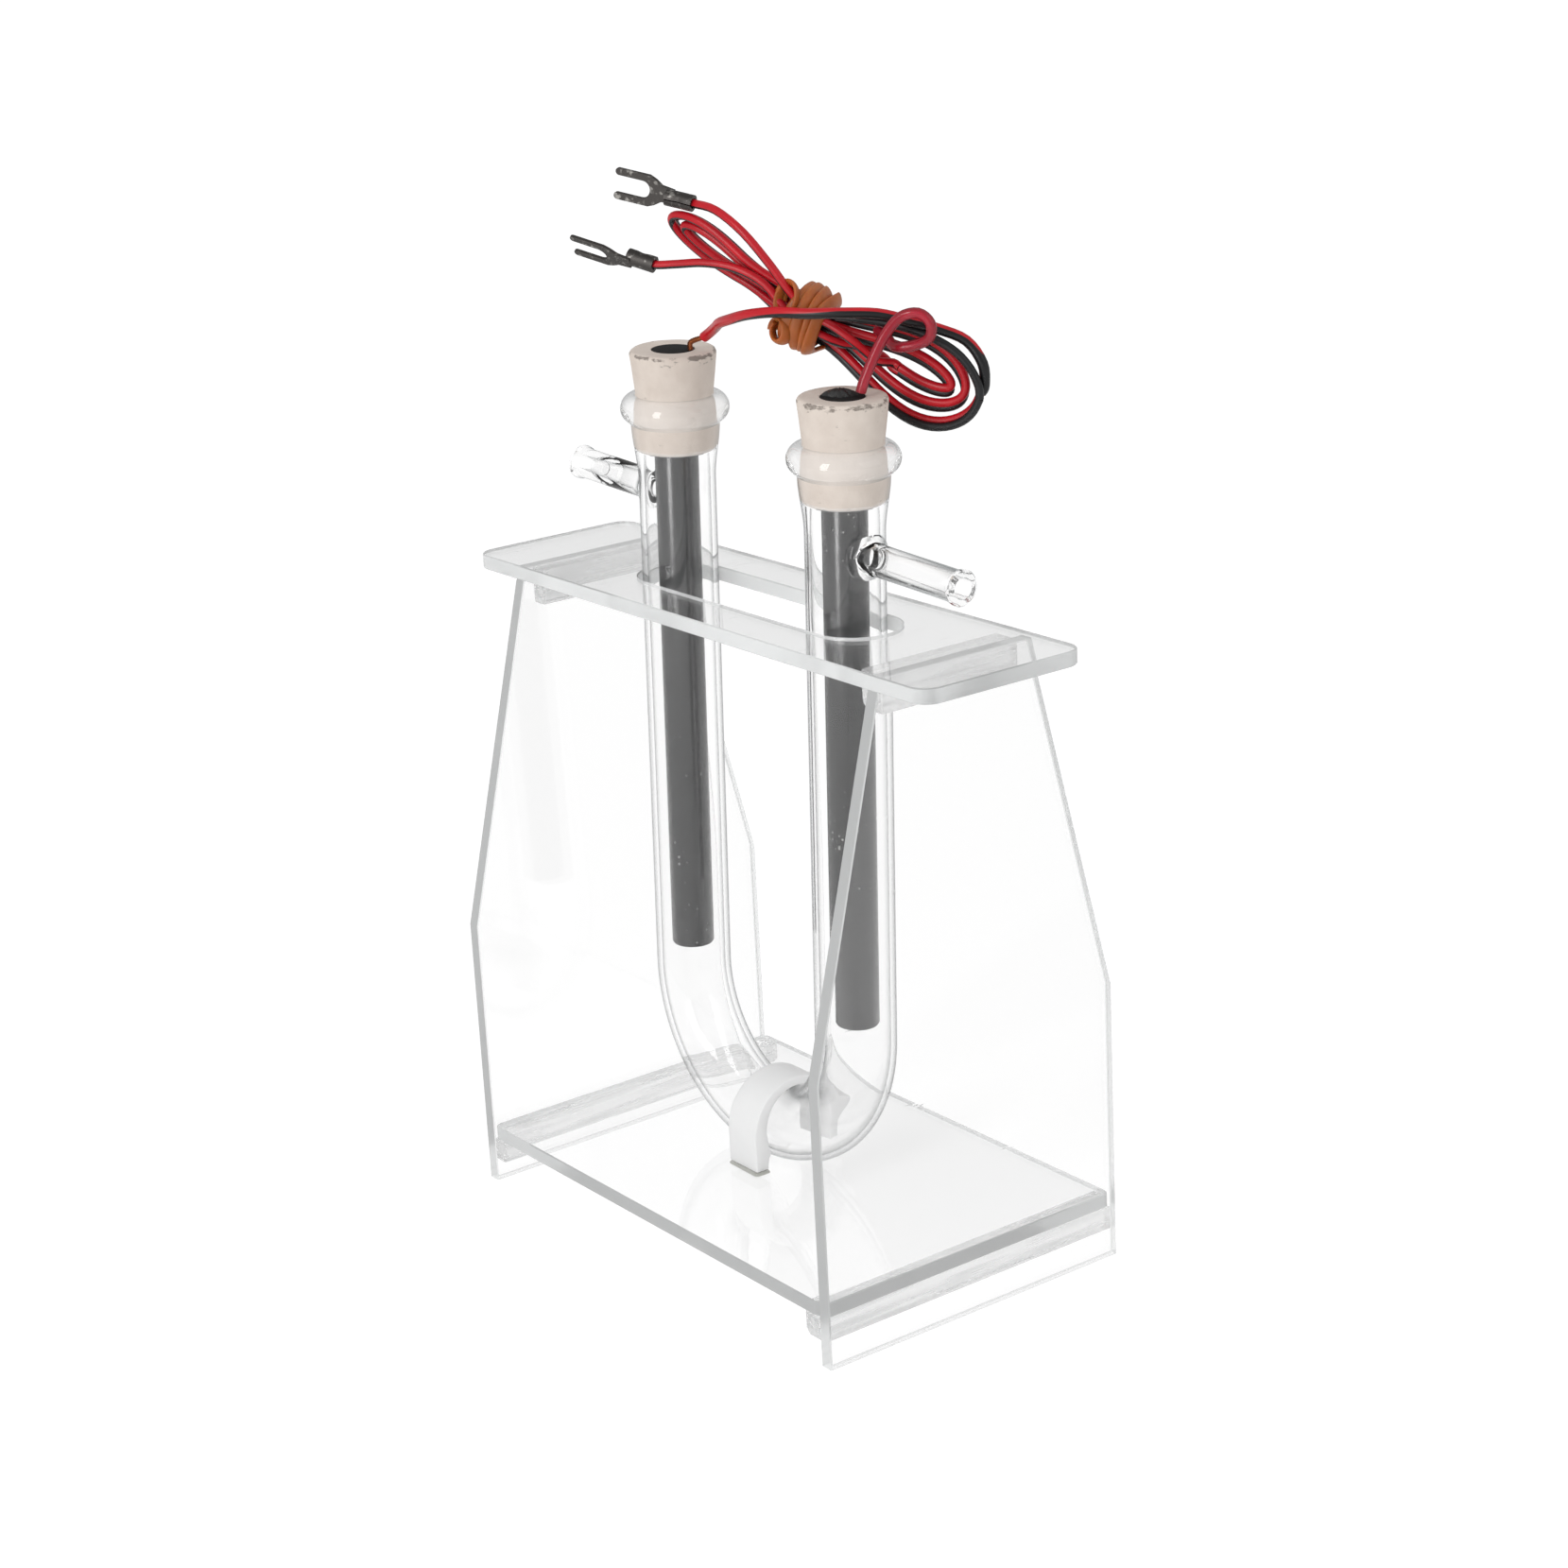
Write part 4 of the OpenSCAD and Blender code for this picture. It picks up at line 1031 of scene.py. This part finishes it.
class MakeLeads(bpy.types.Operator):
    """The red and black leads, their hank and the runs to the terminals"""
    bl_idname = "utube.make_leads"
    bl_label = "Leads"

    def execute(self, context):
        lead = context.scene.utube_lead
        sleeve, black = sleeve_pvc(lead), wire_black(lead)
        # The left-hand flex turns its black side up on its way to the hank's open end
        turning = flex_twin(lead, "pvc_flex_turning", -0.95, 0.5)
        twin = flex_twin(lead, "pvc_flex_red_black", -0.34, -0.34)
        # In the fold the black core shows along the red one's underside, at the open end beside it
        folded = flex_twin(lead, "pvc_flex_folded", -0.48, -1.1)
        upper, lower = ["fork_terminal_upper_stamped"], ["fork_terminal_lower_stamped"]
        left, right = "electrode_left", "electrode_right"
        thick, thin, lines = lead.sleeve, lead.wire, wire_lines()
        for node, finish, slot, width, body, far, lay, forks in (
            ("lead_left", turning, "wire_clear_red", thick, left, "object", "loose", []),
            ("lead_right", sleeve, "wire_clear_red", thick, right, "object", "loose", []),
            ("lead_black", black, "wire_black", thin, left, "object", "loose", []),
            ("hank_red", folded, "wire_red", thin, left, "object", "coiled", []),
            ("hank_black", black, "wire_black", thin, left, "object", "coiled", []),
            ("terminal_lead_red", twin, "wire_red", thin, left, "connector", "loose", upper),
            ("terminal_lead_black", twin, "wire_black", thin, left, "connector", "loose", lower),
        ):
            line = lines[node]
            curve = bpy.data.curves.new(node + "_insulated", "CURVE")
            curve.dimensions = "3D"
            spline = curve.splines.new("POLY")
            spline.points.add(len(line) - 1)
            for point, p in zip(spline.points, line):
                point.co = (*p, 1.0)
            spline.use_smooth = True
            curve.bevel_depth, curve.bevel_resolution = width / 2, 6
            curve.use_fill_caps = True
            curve.materials.append(finish)
            piece = bpy.data.objects.new(node + "_insulated", curve)
            context.scene.collection.objects.link(piece)
            hand_over(piece, body, slot, node)
        return {"FINISHED"}


class MakeSheets(bpy.types.Operator):
    """Base plate, side panels and slotted top plate, cut from clear acrylic"""
    bl_idname = "utube.make_sheets"
    bl_label = "Acrylic sheets"

    # A panel's outline lies in Y and Z, and its sheet goes along X
    UPRIGHT = Matrix(((0, 0, 1, 0), (1, 0, 0, 0), (0, 1, 0, 0), (0, 0, 0, 1)))
    # The slot's round ends stay this much short of a full half circle
    HAIR = 1e-6

    def execute(self, context):
        stand = context.scene.utube_stand
        finishes = [clear_acrylic(stand), acrylic_edge(stand)]
        inside, gap = stand.length / 2 - stand.sheet, stand.glue_line
        flat = Matrix.Identity(4)
        base = sheet_piece(
            "base_plate_acrylic", rounded(2 * (inside - gap), stand.depth, stand.base_corner),
            stand.base_gap, stand.base_gap + stand.sheet, stand.arris, flat, finishes)
        hand_over(see_through(base), "stand", "acrylic", "base_plate")
        slot = rounded(stand.slot_length, stand.slot_width, stand.slot_width / 2 - self.HAIR,
                       (stand.slot_off, 0.0))
        top = sheet_piece(
            "top_plate_acrylic", rounded(stand.top_length, stand.top_depth, stand.top_corner),
            stand.panel_height + gap, stand.panel_height + stand.sheet, stand.arris, flat, finishes,
            hole=slot)
        hand_over(see_through(top), "stand", "acrylic", "top_plate")
        foot, head = stand.depth / 2, stand.panel_top / 2
        outline = [Vector(p) for p in (
            (-foot, 0), (foot, 0), (foot, stand.kink_height), (head, stand.panel_height),
            (-head, stand.panel_height), (-foot, stand.kink_height))]
        for side, low in (("left", -stand.length / 2), ("right", inside)):
            panel = sheet_piece("side_panel_" + side + "_acrylic", outline, low, low + stand.sheet,
                                stand.arris, self.UPRIGHT, finishes)
            hand_over(see_through(panel), "stand", "acrylic", "side_panel_" + side)
        return {"FINISHED"}


class MakeStrips(bpy.types.Operator):
    """Four glue strips in the corners under the plates"""
    bl_idname = "utube.make_strips"
    bl_label = "Glue strips"

    # A strip's section lies in X and Z, and the strip goes along Y
    UPRIGHT = Matrix(((1, 0, 0, 0), (0, 0, 1, 0), (0, 1, 0, 0), (0, 0, 0, 1)))

    def execute(self, context):
        stand = context.scene.utube_stand
        finish = glued_acrylic()
        inside, gap = stand.length / 2 - stand.sheet - stand.glue_line, stand.glue_line
        for kind, top, height, half in (
            ("base", stand.base_gap, stand.base_strip, stand.depth / 2),
            ("top", stand.panel_height, stand.top_strip, stand.panel_top / 2 - stand.strip_set),
        ):
            for side, sign in (("left", -1), ("right", 1)):
                free = inside - stand.strip_width
                cut, low = stand.strip_cut, top - height
                section = [(inside, top - gap), (free, top - gap), (free, low + cut),
                           (free + cut, low), (inside, low)]
                outline = [Vector((sign * x, z)) for x, z in section][::sign]
                strip = sheet_piece(kind + "_strip_" + side + "_glued", outline, -half, half,
                                    stand.arris, self.UPRIGHT, [finish, finish])
                hand_over(see_through(strip), "stand", "acrylic", kind + "_strip_" + side)
        return {"FINISHED"}


class MakeTube(bpy.types.Operator):
    """Glass U-tube with beaded mouths and two fused side arms"""
    bl_idname = "utube.make_tube"
    bl_label = "U-tube"

    SIDES, ARM_SIDES, BEND_STEPS = 72, 48, 56
    # Rings down a limb outside and inside, in shares of its length
    OUTER_RINGS, INNER_RINGS = (0.0, 0.3, 0.6), (0.0, 0.5)
    # The limb widens from this far below its mouth, over this length
    FLARE_FROM, FLARE_LENGTH, FLARE_STEPS = 0.0165, 0.0107, 12
    # The bead's round, in degrees
    BEAD_FROM, BEAD_ARC, BEAD_STEPS = -58, 148, 14
    # The stopper's seat begins and ends this far below the mouth
    SEAT_FROM, SEAT_TO = 0.016, 0.011
    # Distance below the mouth of the rim's two last rings, and radius beside the mouth's
    RIM = ((0.0004, -0.00004), (0.0001, 0.00008))
    # An arm's root inside the wall, then its fused collar: start, length, width and curve
    ROOT = ((0.004, 0.0047), (0.0066, 0.0047))
    COLLAR_AT, COLLAR_LENGTH, COLLAR, COLLAR_CURVE, COLLAR_STEPS = 0.0069, 0.0042, 0.0016, 2.2, 10
    # Distance before an arm's end, and radius beside the arm's
    LIP = ((0.0016, 0.0), (0.0011, 0.0003), (0.0004, 0.0004), (0.0001, 0.0002), (0.0, -0.0002))
    # The post that clears the limb starts below the arm's axis and is this high
    POST_BELOW, POST_HEIGHT = 0.01, 0.02
    # Faces this much below the bead still take its glass
    BEAD_SLACK = 0.0001

    def execute(self, context):
        tube = context.scene.utube_tube
        glass = tube_glass(tube)
        points, faces = skin(self.shell(tube), looped=True)
        piece = new_mesh("u_tube_glass", points, faces, [glass])
        for side in (-1, 1):
            axis, up = Vector((side, 0, 0)), Vector((0, 0, 1))
            start = Vector((side * tube.bend, 0, tube.limb - tube.arm_drop))
            rings = [ring(start + axis * s, Vector((0, 1, 0)), up, r, self.ARM_SIDES)
                     for s, r in self.arm_profile(tube)]
            arm = new_mesh("arm", *skin(rings), [glass])
            plug = self.post(start - up * self.POST_BELOW, up, tube.radius - tube.wall / 2,
                             self.POST_HEIGHT, glass)
            join(arm, plug, "DIFFERENCE")
            join(piece, arm, "UNION")
            bore = self.post(start + axis * tube.radius / 2, axis, tube.arm_bore,
                             tube.arm_length, glass)
            join(piece, bore, "DIFFERENCE")
        piece.data.materials.append(bead_glass(tube))
        for face in piece.data.polygons:
            if face.center.z > tube.limb - tube.bead_height - self.BEAD_SLACK:
                face.material_index = len(piece.data.materials) - 1
        piece.data.transform(tube_place(tube))
        hand_over(see_through(piece), "stand", "glass", "u_tube")
        return {"FINISHED"}

    def post(self, foot, axis, radius, height, glass):
        """A plain post that cuts a bore."""
        across = Vector((0, 1, 0))
        up = axis.cross(across)
        rings = [ring(foot + axis * h, across, up, radius, self.ARM_SIDES) for h in (0, height)]
        return new_mesh("post", *skin(rings), [glass])

    def shell(self, tube):
        """Rings down one limb, round the bend, up the other and back along the bore."""
        top, half, bore = tube.limb, tube.bead_height / 2, tube.radius - tube.wall
        middle = tube.bead - half
        outer = [(top * share, tube.radius) for share in self.OUTER_RINGS]
        flare = tube.mouth - bore
        for s in shares(self.FLARE_STEPS):
            outer.append((top - self.FLARE_FROM + self.FLARE_LENGTH * s,
                          tube.radius + flare * ease(s)))
        for t in sweep(self.BEAD_FROM, self.BEAD_ARC, self.BEAD_STEPS):
            outer.append((top - half + half * math.sin(t), middle + half * math.cos(t)))
        inner = [(top * share, bore) for share in self.INNER_RINGS]
        inner += [(top - self.SEAT_FROM, bore), (top - self.SEAT_TO, tube.seat_low)]
        inner += [(top - z, tube.mouth + r) for z, r in self.RIM]
        rings = []
        across, up = Vector((1, 0, 0)), Vector((0, 1, 0))
        for profile, radius, way in ((outer, tube.radius, 1), (inner, bore, -1)):
            left, right = ([ring(Vector((side * tube.bend, 0, z)), side * across, up, r, self.SIDES)
                            for z, r in profile] for side in (-1, 1))
            turn = []
            for k in range(1, self.BEND_STEPS):
                t = math.pi + math.pi * k / self.BEND_STEPS
                out = Vector((math.cos(t), 0, math.sin(t)))
                turn.append(ring(out * tube.bend, out, up, radius, self.SIDES))
            run = left[::-1] + turn + right
            rings += run[::way]
        return rings

    def arm_profile(self, tube):
        """Distance from the limb's axis and radius along a side arm: a fused root, then its lip."""
        profile = list(self.ROOT)
        for s in shares(self.COLLAR_STEPS):
            profile.append((self.COLLAR_AT + self.COLLAR_LENGTH * s,
                            tube.arm_radius + self.COLLAR * (1 - s) ** self.COLLAR_CURVE))
        return profile + [(tube.arm_length - back, tube.arm_radius + r) for back, r in self.LIP]


class MakeClip(bpy.types.Operator):
    """Moulded clip over the tube's bend, and the dab of glue under its foot"""
    bl_idname = "utube.make_clip"
    bl_label = "Tube clip"

    # Where it starts along X, and its length
    START, LENGTH, SECTIONS = -0.0055, 0.009, 12
    # Its wall, its play round the tube, how far the catch stands off, and a small set-back
    WALL, PLAY, FREE, STEP = 0.003, 0.00015, 0.002, 0.0001
    # The hollow inside the standing leg: radius, flatness, set-back and arc in degrees
    HOLLOW, FLATNESS, SET_BACK, HOLLOW_ARC, HOLLOW_STEPS = 0.0015, 0.9, 0.0006, 100, 6
    # The free catch: how far outside its own foot, and height from the tube's axis
    CATCH = ((0.0, -0.0055), (0.0, -0.0012), (0.0006, -0.0001), (0.0028, 0.0022),
             (0.0031, 0.0029), (0.0028, 0.0036), (0.0012, 0.0043), (0.0001, 0.0049))
    # The round back, in degrees, and the arch inside
    BACK_FROM, BACK_ARC, BACK_STEPS, ARCH_STEPS = 28, 152, 28, 32
    EDGE, EDGE_ANGLE = 0.0003, 50
    # The dab of glue: its height, its corners and its rim's wave
    GLUE, CORNER, WAVE, WAVE_RATE = 0.0007, 0.0009, 0.00012, 2600
    # How far the dab spreads past the foot at shares of its height
    DAB = ((0.0, 0.0002), (0.2, 0.0004), (0.55, 0.00025), (0.85, -0.0001), (1, -0.0004))

    def execute(self, context):
        tube, stand = context.scene.utube_tube, context.scene.utube_stand
        floor = stand.base_gap + stand.sheet
        axis_z = tube.bend_z - tube.bend
        bore = tube.radius + self.PLAY
        outside, drop = bore + self.WALL, axis_z - floor - self.GLUE
        rings = []
        for share in shares(self.SECTIONS):
            x = self.START + self.LENGTH * share
            line = self.outline(tube, bore, outside, drop, x)
            rings.append([Vector((x, y, axis_z + z)) for y, z in line])
        piece = new_mesh("tube_clip_moulded", *skin(rings), [clip_nylon()])
        soften = piece.modifiers.new("soften", "BEVEL")
        soften.width, soften.segments, soften.limit_method = self.EDGE, 3, "ANGLE"
        soften.angle_limit = math.radians(self.EDGE_ANGLE)
        creased(applied(piece))
        hand_over(piece, "stand", "clip_plastic", "tube_clip")

        middle = Vector((self.START + self.LENGTH / 2, -outside + self.WALL / 2))
        rings = []
        for level, spread in self.DAB:
            outline = rounded(self.LENGTH + 2 * spread, self.WALL + 2 * spread, self.CORNER)
            rings.append([
                Vector((middle.x + p.x,
                        middle.y + p.y + self.WAVE * math.sin(self.WAVE_RATE * p.x),
                        floor + self.GLUE * level)) for p in outline])
        dab = new_mesh("clip_glue_dab", *skin(rings), [hot_glue()], sharp=60)
        hand_over(dab, "stand", "glue", "clip_glue")
        return {"FINISHED"}

    def outline(self, tube, bore, outside, drop, x):
        """The clip's section at a place along X: Y, and height from the tube's axis."""
        off = x - tube.bend_x
        line = [(-outside, -drop), (-bore - self.STEP, -drop)]
        for t in sweep(-self.HOLLOW_ARC / 2, self.HOLLOW_ARC, self.HOLLOW_STEPS):
            line.append((-bore - self.SET_BACK + self.HOLLOW * math.cos(t) * self.FLATNESS,
                         -drop / 2 + self.HOLLOW * math.sin(t)))
        # The inside follows the glass, which curves away along X
        for t in sweep(180, -180, self.ARCH_STEPS):
            high = bore * math.sin(t)
            line.append((bore * math.cos(t),
                         tube.bend - math.sqrt((tube.bend - high) ** 2 - off ** 2)))
        line.append((bore, self.CATCH[0][1]))
        line += [(bore + self.FREE + y, z) for y, z in self.CATCH]
        return line + [(outside * math.cos(t), outside * math.sin(t))
                       for t in sweep(self.BACK_FROM, self.BACK_ARC, self.BACK_STEPS)]


class MakeStoppers(bpy.types.Operator):
    """Two bored rubber stoppers"""
    bl_idname = "utube.make_stoppers"
    bl_label = "Stoppers"

    SIDES, PLAY = 96, 0.00003
    # Each edge: distance in from the side or out from the bore, distance from the face, and wear
    FOOT = ((0.0006, 0.0, 0.2), (0.0001, 0.0003, 0.2))
    RIM = ((0.0001, 0.0006, 1.0), (0.0003, 0.0002, 1.0), (0.0006, 0.0, 0.6), (0.0011, 0.0, 0.0))
    BORE_RIM = ((0.0006, 0.0, 0.0), (0.0, 0.00005, 0.3))
    # The tapered side: where it starts, what it leaves of the height, and its wear under the rim
    SIDE_FROM, SIDE_LEAVES, SIDE_STEPS, SIDE_WEAR = 0.0008, 0.0019, 8, 0.45
    # A hand-cut rim is never quite round: height and number of its waves
    LONG, SHORT, FROM_BORE = (0.00005, 5), (0.00003, 11), 0.001
    # The right one is nicked: depth, bearing and width in degrees
    NICK, NICK_AT, NICK_WIDTH = 0.0006, 38, 7

    def execute(self, context):
        tube, electrode = context.scene.utube_tube, context.scene.utube_electrode
        rubber, place = stopper_rubber(electrode), tube_place(tube)
        foot = tube.limb - electrode.stopper_in
        bore = electrode.rod + self.PLAY
        for side, sign in (("left", -1), ("right", 1)):
            rings, wear = [], []
            for r, z, worn in self.profile(electrode, bore):
                level = []
                for k in range(self.SIDES):
                    t = 2 * math.pi * k / self.SIDES
                    off = sum(high * math.sin(number * t + turn) for (high, number), turn in (
                        (self.LONG, sign), (self.SHORT, 0)))
                    if sign > 0 and worn > 0.5:
                        across = (math.degrees(t) - self.NICK_AT) / self.NICK_WIDTH
                        off -= self.NICK * math.exp(-across ** 2)
                    rr = r + (off if worn > 0.15 and r > bore + self.FROM_BORE else 0.0)
                    level.append(place @ Vector((sign * tube.bend + rr * math.cos(t),
                                                 rr * math.sin(t), foot + z)))
                rings.append(level)
                wear += [worn] * self.SIDES
            points, faces = skin(rings, looped=True)
            piece = new_mesh("stopper_" + side + "_rubber", points, faces, [rubber], wear=wear)
            hand_over(piece, "electrode_" + side, "rubber", "stopper_" + side)
        return {"FINISHED"}

    def profile(self, electrode, bore):
        """Radius, height and wear from the bore's foot round the outside to its top."""
        low, top, height = electrode.stopper_low, electrode.stopper_top, electrode.stopper_height
        profile = [(bore, 0.0, 0.0)] + [(low - x, z, worn) for x, z, worn in self.FOOT]
        for share in shares(self.SIDE_STEPS):
            z = self.SIDE_FROM + (height - self.SIDE_LEAVES) * share
            profile.append((low + (top - low) * z / height, z,
                            self.SIDE_WEAR if share == 1 else 0.0))
        profile += [(top - x, height - z, worn) for x, z, worn in self.RIM]
        return profile + [(bore + x, height - z, worn) for x, z, worn in self.BORE_RIM]


class MakeRods(bpy.types.Operator):
    """Two carbon rods, flush with the stoppers' tops"""
    bl_idname = "utube.make_rods"
    bl_label = "Carbon rods"

    SIDES = 64
    # Each edge: distance in from the side, and from the face
    FOOT = ((0.0005, 0.0), (0.0002, 0.00012), (0.0, 0.0005))
    HEAD = ((0.0, 0.0003), (0.00015, 0.00005), (0.0004, 0.0))
    # Faces this near the top show the sawn end
    SAWN = 0.00006

    def execute(self, context):
        tube, electrode = context.scene.utube_tube, context.scene.utube_electrode
        carbon, place = rod_carbon(electrode, tube.lean), tube_place(tube)
        top, r, h = rod_top(tube, electrode), electrode.rod, electrode.rod_length
        profile = [(0.0, 0.0), *((r - x, z) for x, z in self.FOOT), (r, h / 2),
                   *((r - x, h - z) for x, z in self.HEAD), (0.0, h)]
        for side, sign in (("left", -1), ("right", 1)):
            middle = Vector((sign * tube.bend, 0, top - h))
            rings = [ring(middle + Vector((0, 0, z)), Vector((1, 0, 0)), Vector((0, 1, 0)), a,
                          self.SIDES) for a, z in profile]
            points, faces = skin(rings)
            ends = [int(all(points[i].z > top - self.SAWN for i in face)) for face in faces]
            piece = new_mesh("carbon_rod_" + side + "_turned", [place @ p for p in points], faces,
                             [carbon, carbon_sawn(electrode)], ends)
            hand_over(piece, "electrode_" + side, "carbon", "carbon_rod_" + side)
        return {"FINISHED"}


class MakeSeal(bpy.types.Operator):
    """The ragged lump that seals the lead into the right-hand rod"""
    bl_idname = "utube.make_seal"
    bl_label = "Rod seal"

    SIDES = 60
    # Share of the height, and share of the width there
    LEVELS = ((0.0, 1.0), (0.25, 0.96), (0.55, 0.8), (0.8, 0.55), (0.95, 0.3), (1, 0.0))
    # The lump's half width along and across, the curve of its outline, and how it is turned
    HALF_LONG, HALF_WIDE, CURVE, BEARING = 0.0034, 0.0019, 1.25, 50
    # Where it stands beside the rod's axis, in shares of its height
    ASIDE = 0.6
    # Its rag: height, number of waves, and how they turn with the height; and its knobs
    RAG, KNOB, KNOBS = ((0.06, 7, 3), (0.05, 13, -2)), 0.1, 5

    def execute(self, context):
        tube, electrode = context.scene.utube_tube, context.scene.utube_electrode
        place, high = tube_place(tube), electrode.seal_height
        middle = Vector((tube.bend - high * self.ASIDE, 0, rod_top(tube, electrode)))
        rings = []
        for level, share in self.LEVELS:
            run = []
            for k in range(self.SIDES):
                t = 2 * math.pi * k / self.SIDES
                wide = sum((abs(part) / half) ** self.CURVE for part, half in (
                    (math.cos(t), self.HALF_LONG), (math.sin(t), self.HALF_WIDE))
                           ) ** (-1 / self.CURVE)
                wide *= share * (1 + sum(wave * math.sin(number * t + turn * level)
                                         for wave, number, turn in self.RAG))
                bearing = t + math.radians(self.BEARING)
                rise = high * level * (1 + self.KNOB * math.sin(self.KNOBS * t) * (1 - share))
                run.append(place @ (middle + Vector((
                    wide * math.cos(bearing), wide * math.sin(bearing), min(rise, high)))))
            rings.append(run)
        piece = new_mesh("rod_seal_right_lump", *skin(rings), [seal_pitch(electrode)], sharp=70)
        hand_over(piece, "electrode_right", "seal", "rod_seal_right")
        return {"FINISHED"}


class MakeTail(bpy.types.Operator):
    """Twisted copper strands from the left-hand rod to its lead"""
    bl_idname = "utube.make_tail"
    bl_label = "Copper tail"

    # Radius that the strands are laid at, a strand's own radius, and turns in the tail
    LAY, STRAND, TURNS = 0.00036, 0.00017, 1.4

    def execute(self, context):
        electrode = context.scene.utube_electrode
        piece = path_mesh("copper_tail_left_strands", [wire_lines()["tail"]])
        grow(piece, twisted_strands_tree(), {
            "Strands": electrode.strands, "Lay radius": self.LAY, "Strand radius": self.STRAND,
            "Turns": self.TURNS, "Finish": strand_copper(electrode)})
        hand_over(piece, "electrode_left", "copper", "copper_tail_left")
        return {"FINISHED"}


class MakeBand(bpy.types.Operator):
    """The wound rubber band round the hank's waist, with its two slack loops"""
    bl_idname = "utube.make_band"
    bl_label = "Rubber band"

    # The winding, in millimetres on the hank's axes: half its width, middle, pitch and turns
    HALF, MIDDLE, PITCH, TURNS, STEPS = 5.3, Vector((0, -1.4, -1.1)), 1.6, 4, 48
    # Its sides bulge by this power, and its turns wander: size, rate and start
    BULGE, WANDER, LOOSE = 0.7, ((0.4, 1.3, 0), (0.2, 3.1, 1)), (0.03, 1.7, 2)
    # Two slack turns stand off at the left, one above the stopper's lead and one below it:
    # middle, half width and half height
    SLACK = ((-4.6, -5.6, 1.6, 1.9, 2.9), (-3.6, -6.3, -4.2, 1.7, 1.9))
    SLACK_FROM, SLACK_ARC, SLACK_STEPS = -30, 420, 40
    # How a slack turn leans, and how far it goes forward, in millimetres
    LEAN, TILT, FORWARD = 0.9, 0.25, 0.5
    # The strand's tilt at its start, and its twist on the way
    START, TWIST = 1.3, 0.6

    def execute(self, context):
        lead = context.scene.utube_lead
        piece = path_mesh("rubber_band_wound", [self.winding(), *map(self.slack_turn, self.SLACK)])
        grow(piece, flat_strand_tree(), {
            "Width": lead.band_width, "Thickness": lead.band_thickness, "Start": self.START,
            "Twist": self.TWIST, "Finish": band_rubber(lead)})
        hand_over(piece, "electrode_left", "band", "rubber_band")
        return {"FINISHED"}

    def winding(self):
        """The tight turns round the waist, in metres."""
        line = []
        for k in range(self.STEPS * self.TURNS + 1):
            a = 2 * math.pi * k / self.STEPS
            wander = sum(size * math.sin(rate * a + start) for size, rate, start in self.WANDER)
            size, rate, start = self.LOOSE
            half = self.HALF * (1 + size * math.sin(rate * a + start))
            y, z = (half * math.copysign(abs(part) ** self.BULGE, part)
                    for part in (math.cos(a), math.sin(a)))
            x = self.PITCH * (k / self.STEPS - self.TURNS / 2) + wander
            line.append(on_hank(self.MIDDLE + Vector((x, y, z))) / 1000)
        return line

    def slack_turn(self, turn):
        """One slack turn, in metres."""
        x, y, z, wide, high = turn
        line = []
        for share in shares(self.SLACK_STEPS):
            a = math.radians(self.SLACK_FROM + self.SLACK_ARC * share)
            line.append(on_hank((
                x - wide * math.cos(a), y + self.LEAN * math.cos(a) - self.FORWARD * share,
                z + high * math.sin(a) + self.TILT * math.cos(a))) / 1000)
        return line


SETTINGS = (
    ("utube_stand", StandSettings), ("utube_tube", TubeSettings),
    ("utube_electrode", ElectrodeSettings), ("utube_lead", LeadSettings),
    ("utube_stage", StageSettings),
)
OPERATORS = (
    MakeStage, MakeTerminals, MakeLeads, MakeSheets, MakeStrips, MakeTube, MakeClip, MakeStoppers,
    MakeRods, MakeSeal, MakeTail, MakeBand,
)


class ApparatusPanel(bpy.types.Panel):
    """Lists the pieces and their settings"""
    bl_idname = "VIEW3D_PT_utube"
    bl_label = "U-tube apparatus"
    bl_space_type = "VIEW_3D"
    bl_region_type = "UI"
    bl_category = "Apparatus"

    def draw(self, context):
        for operator in OPERATORS:
            self.layout.operator(operator.bl_idname)
        for name, kind in SETTINGS:
            box = self.layout.box()
            for key in kind.__annotations__:
                box.prop(getattr(context.scene, name), key)


def register():
    for name, kind in SETTINGS:
        bpy.utils.register_class(kind)
        setattr(bpy.types.Scene, name, PointerProperty(type=kind))
    for kind in (*OPERATORS, ApparatusPanel):
        bpy.utils.register_class(kind)


def unregister():
    for kind in (ApparatusPanel, *OPERATORS[::-1]):
        bpy.utils.unregister_class(kind)
    for name, kind in SETTINGS[::-1]:
        delattr(bpy.types.Scene, name)
        bpy.utils.unregister_class(kind)


def main():
    register()
    bpy.ops.utube.make_stage()
    bpy.ops.utube.make_terminals()
    bpy.ops.utube.make_leads()
    bpy.ops.utube.make_sheets()
    bpy.ops.utube.make_strips()
    bpy.ops.utube.make_tube()
    bpy.ops.utube.make_clip()
    bpy.ops.utube.make_stoppers()
    bpy.ops.utube.make_rods()
    bpy.ops.utube.make_seal()
    bpy.ops.utube.make_tail()
    bpy.ops.utube.make_band()


if __name__ == "__main__":
    main()
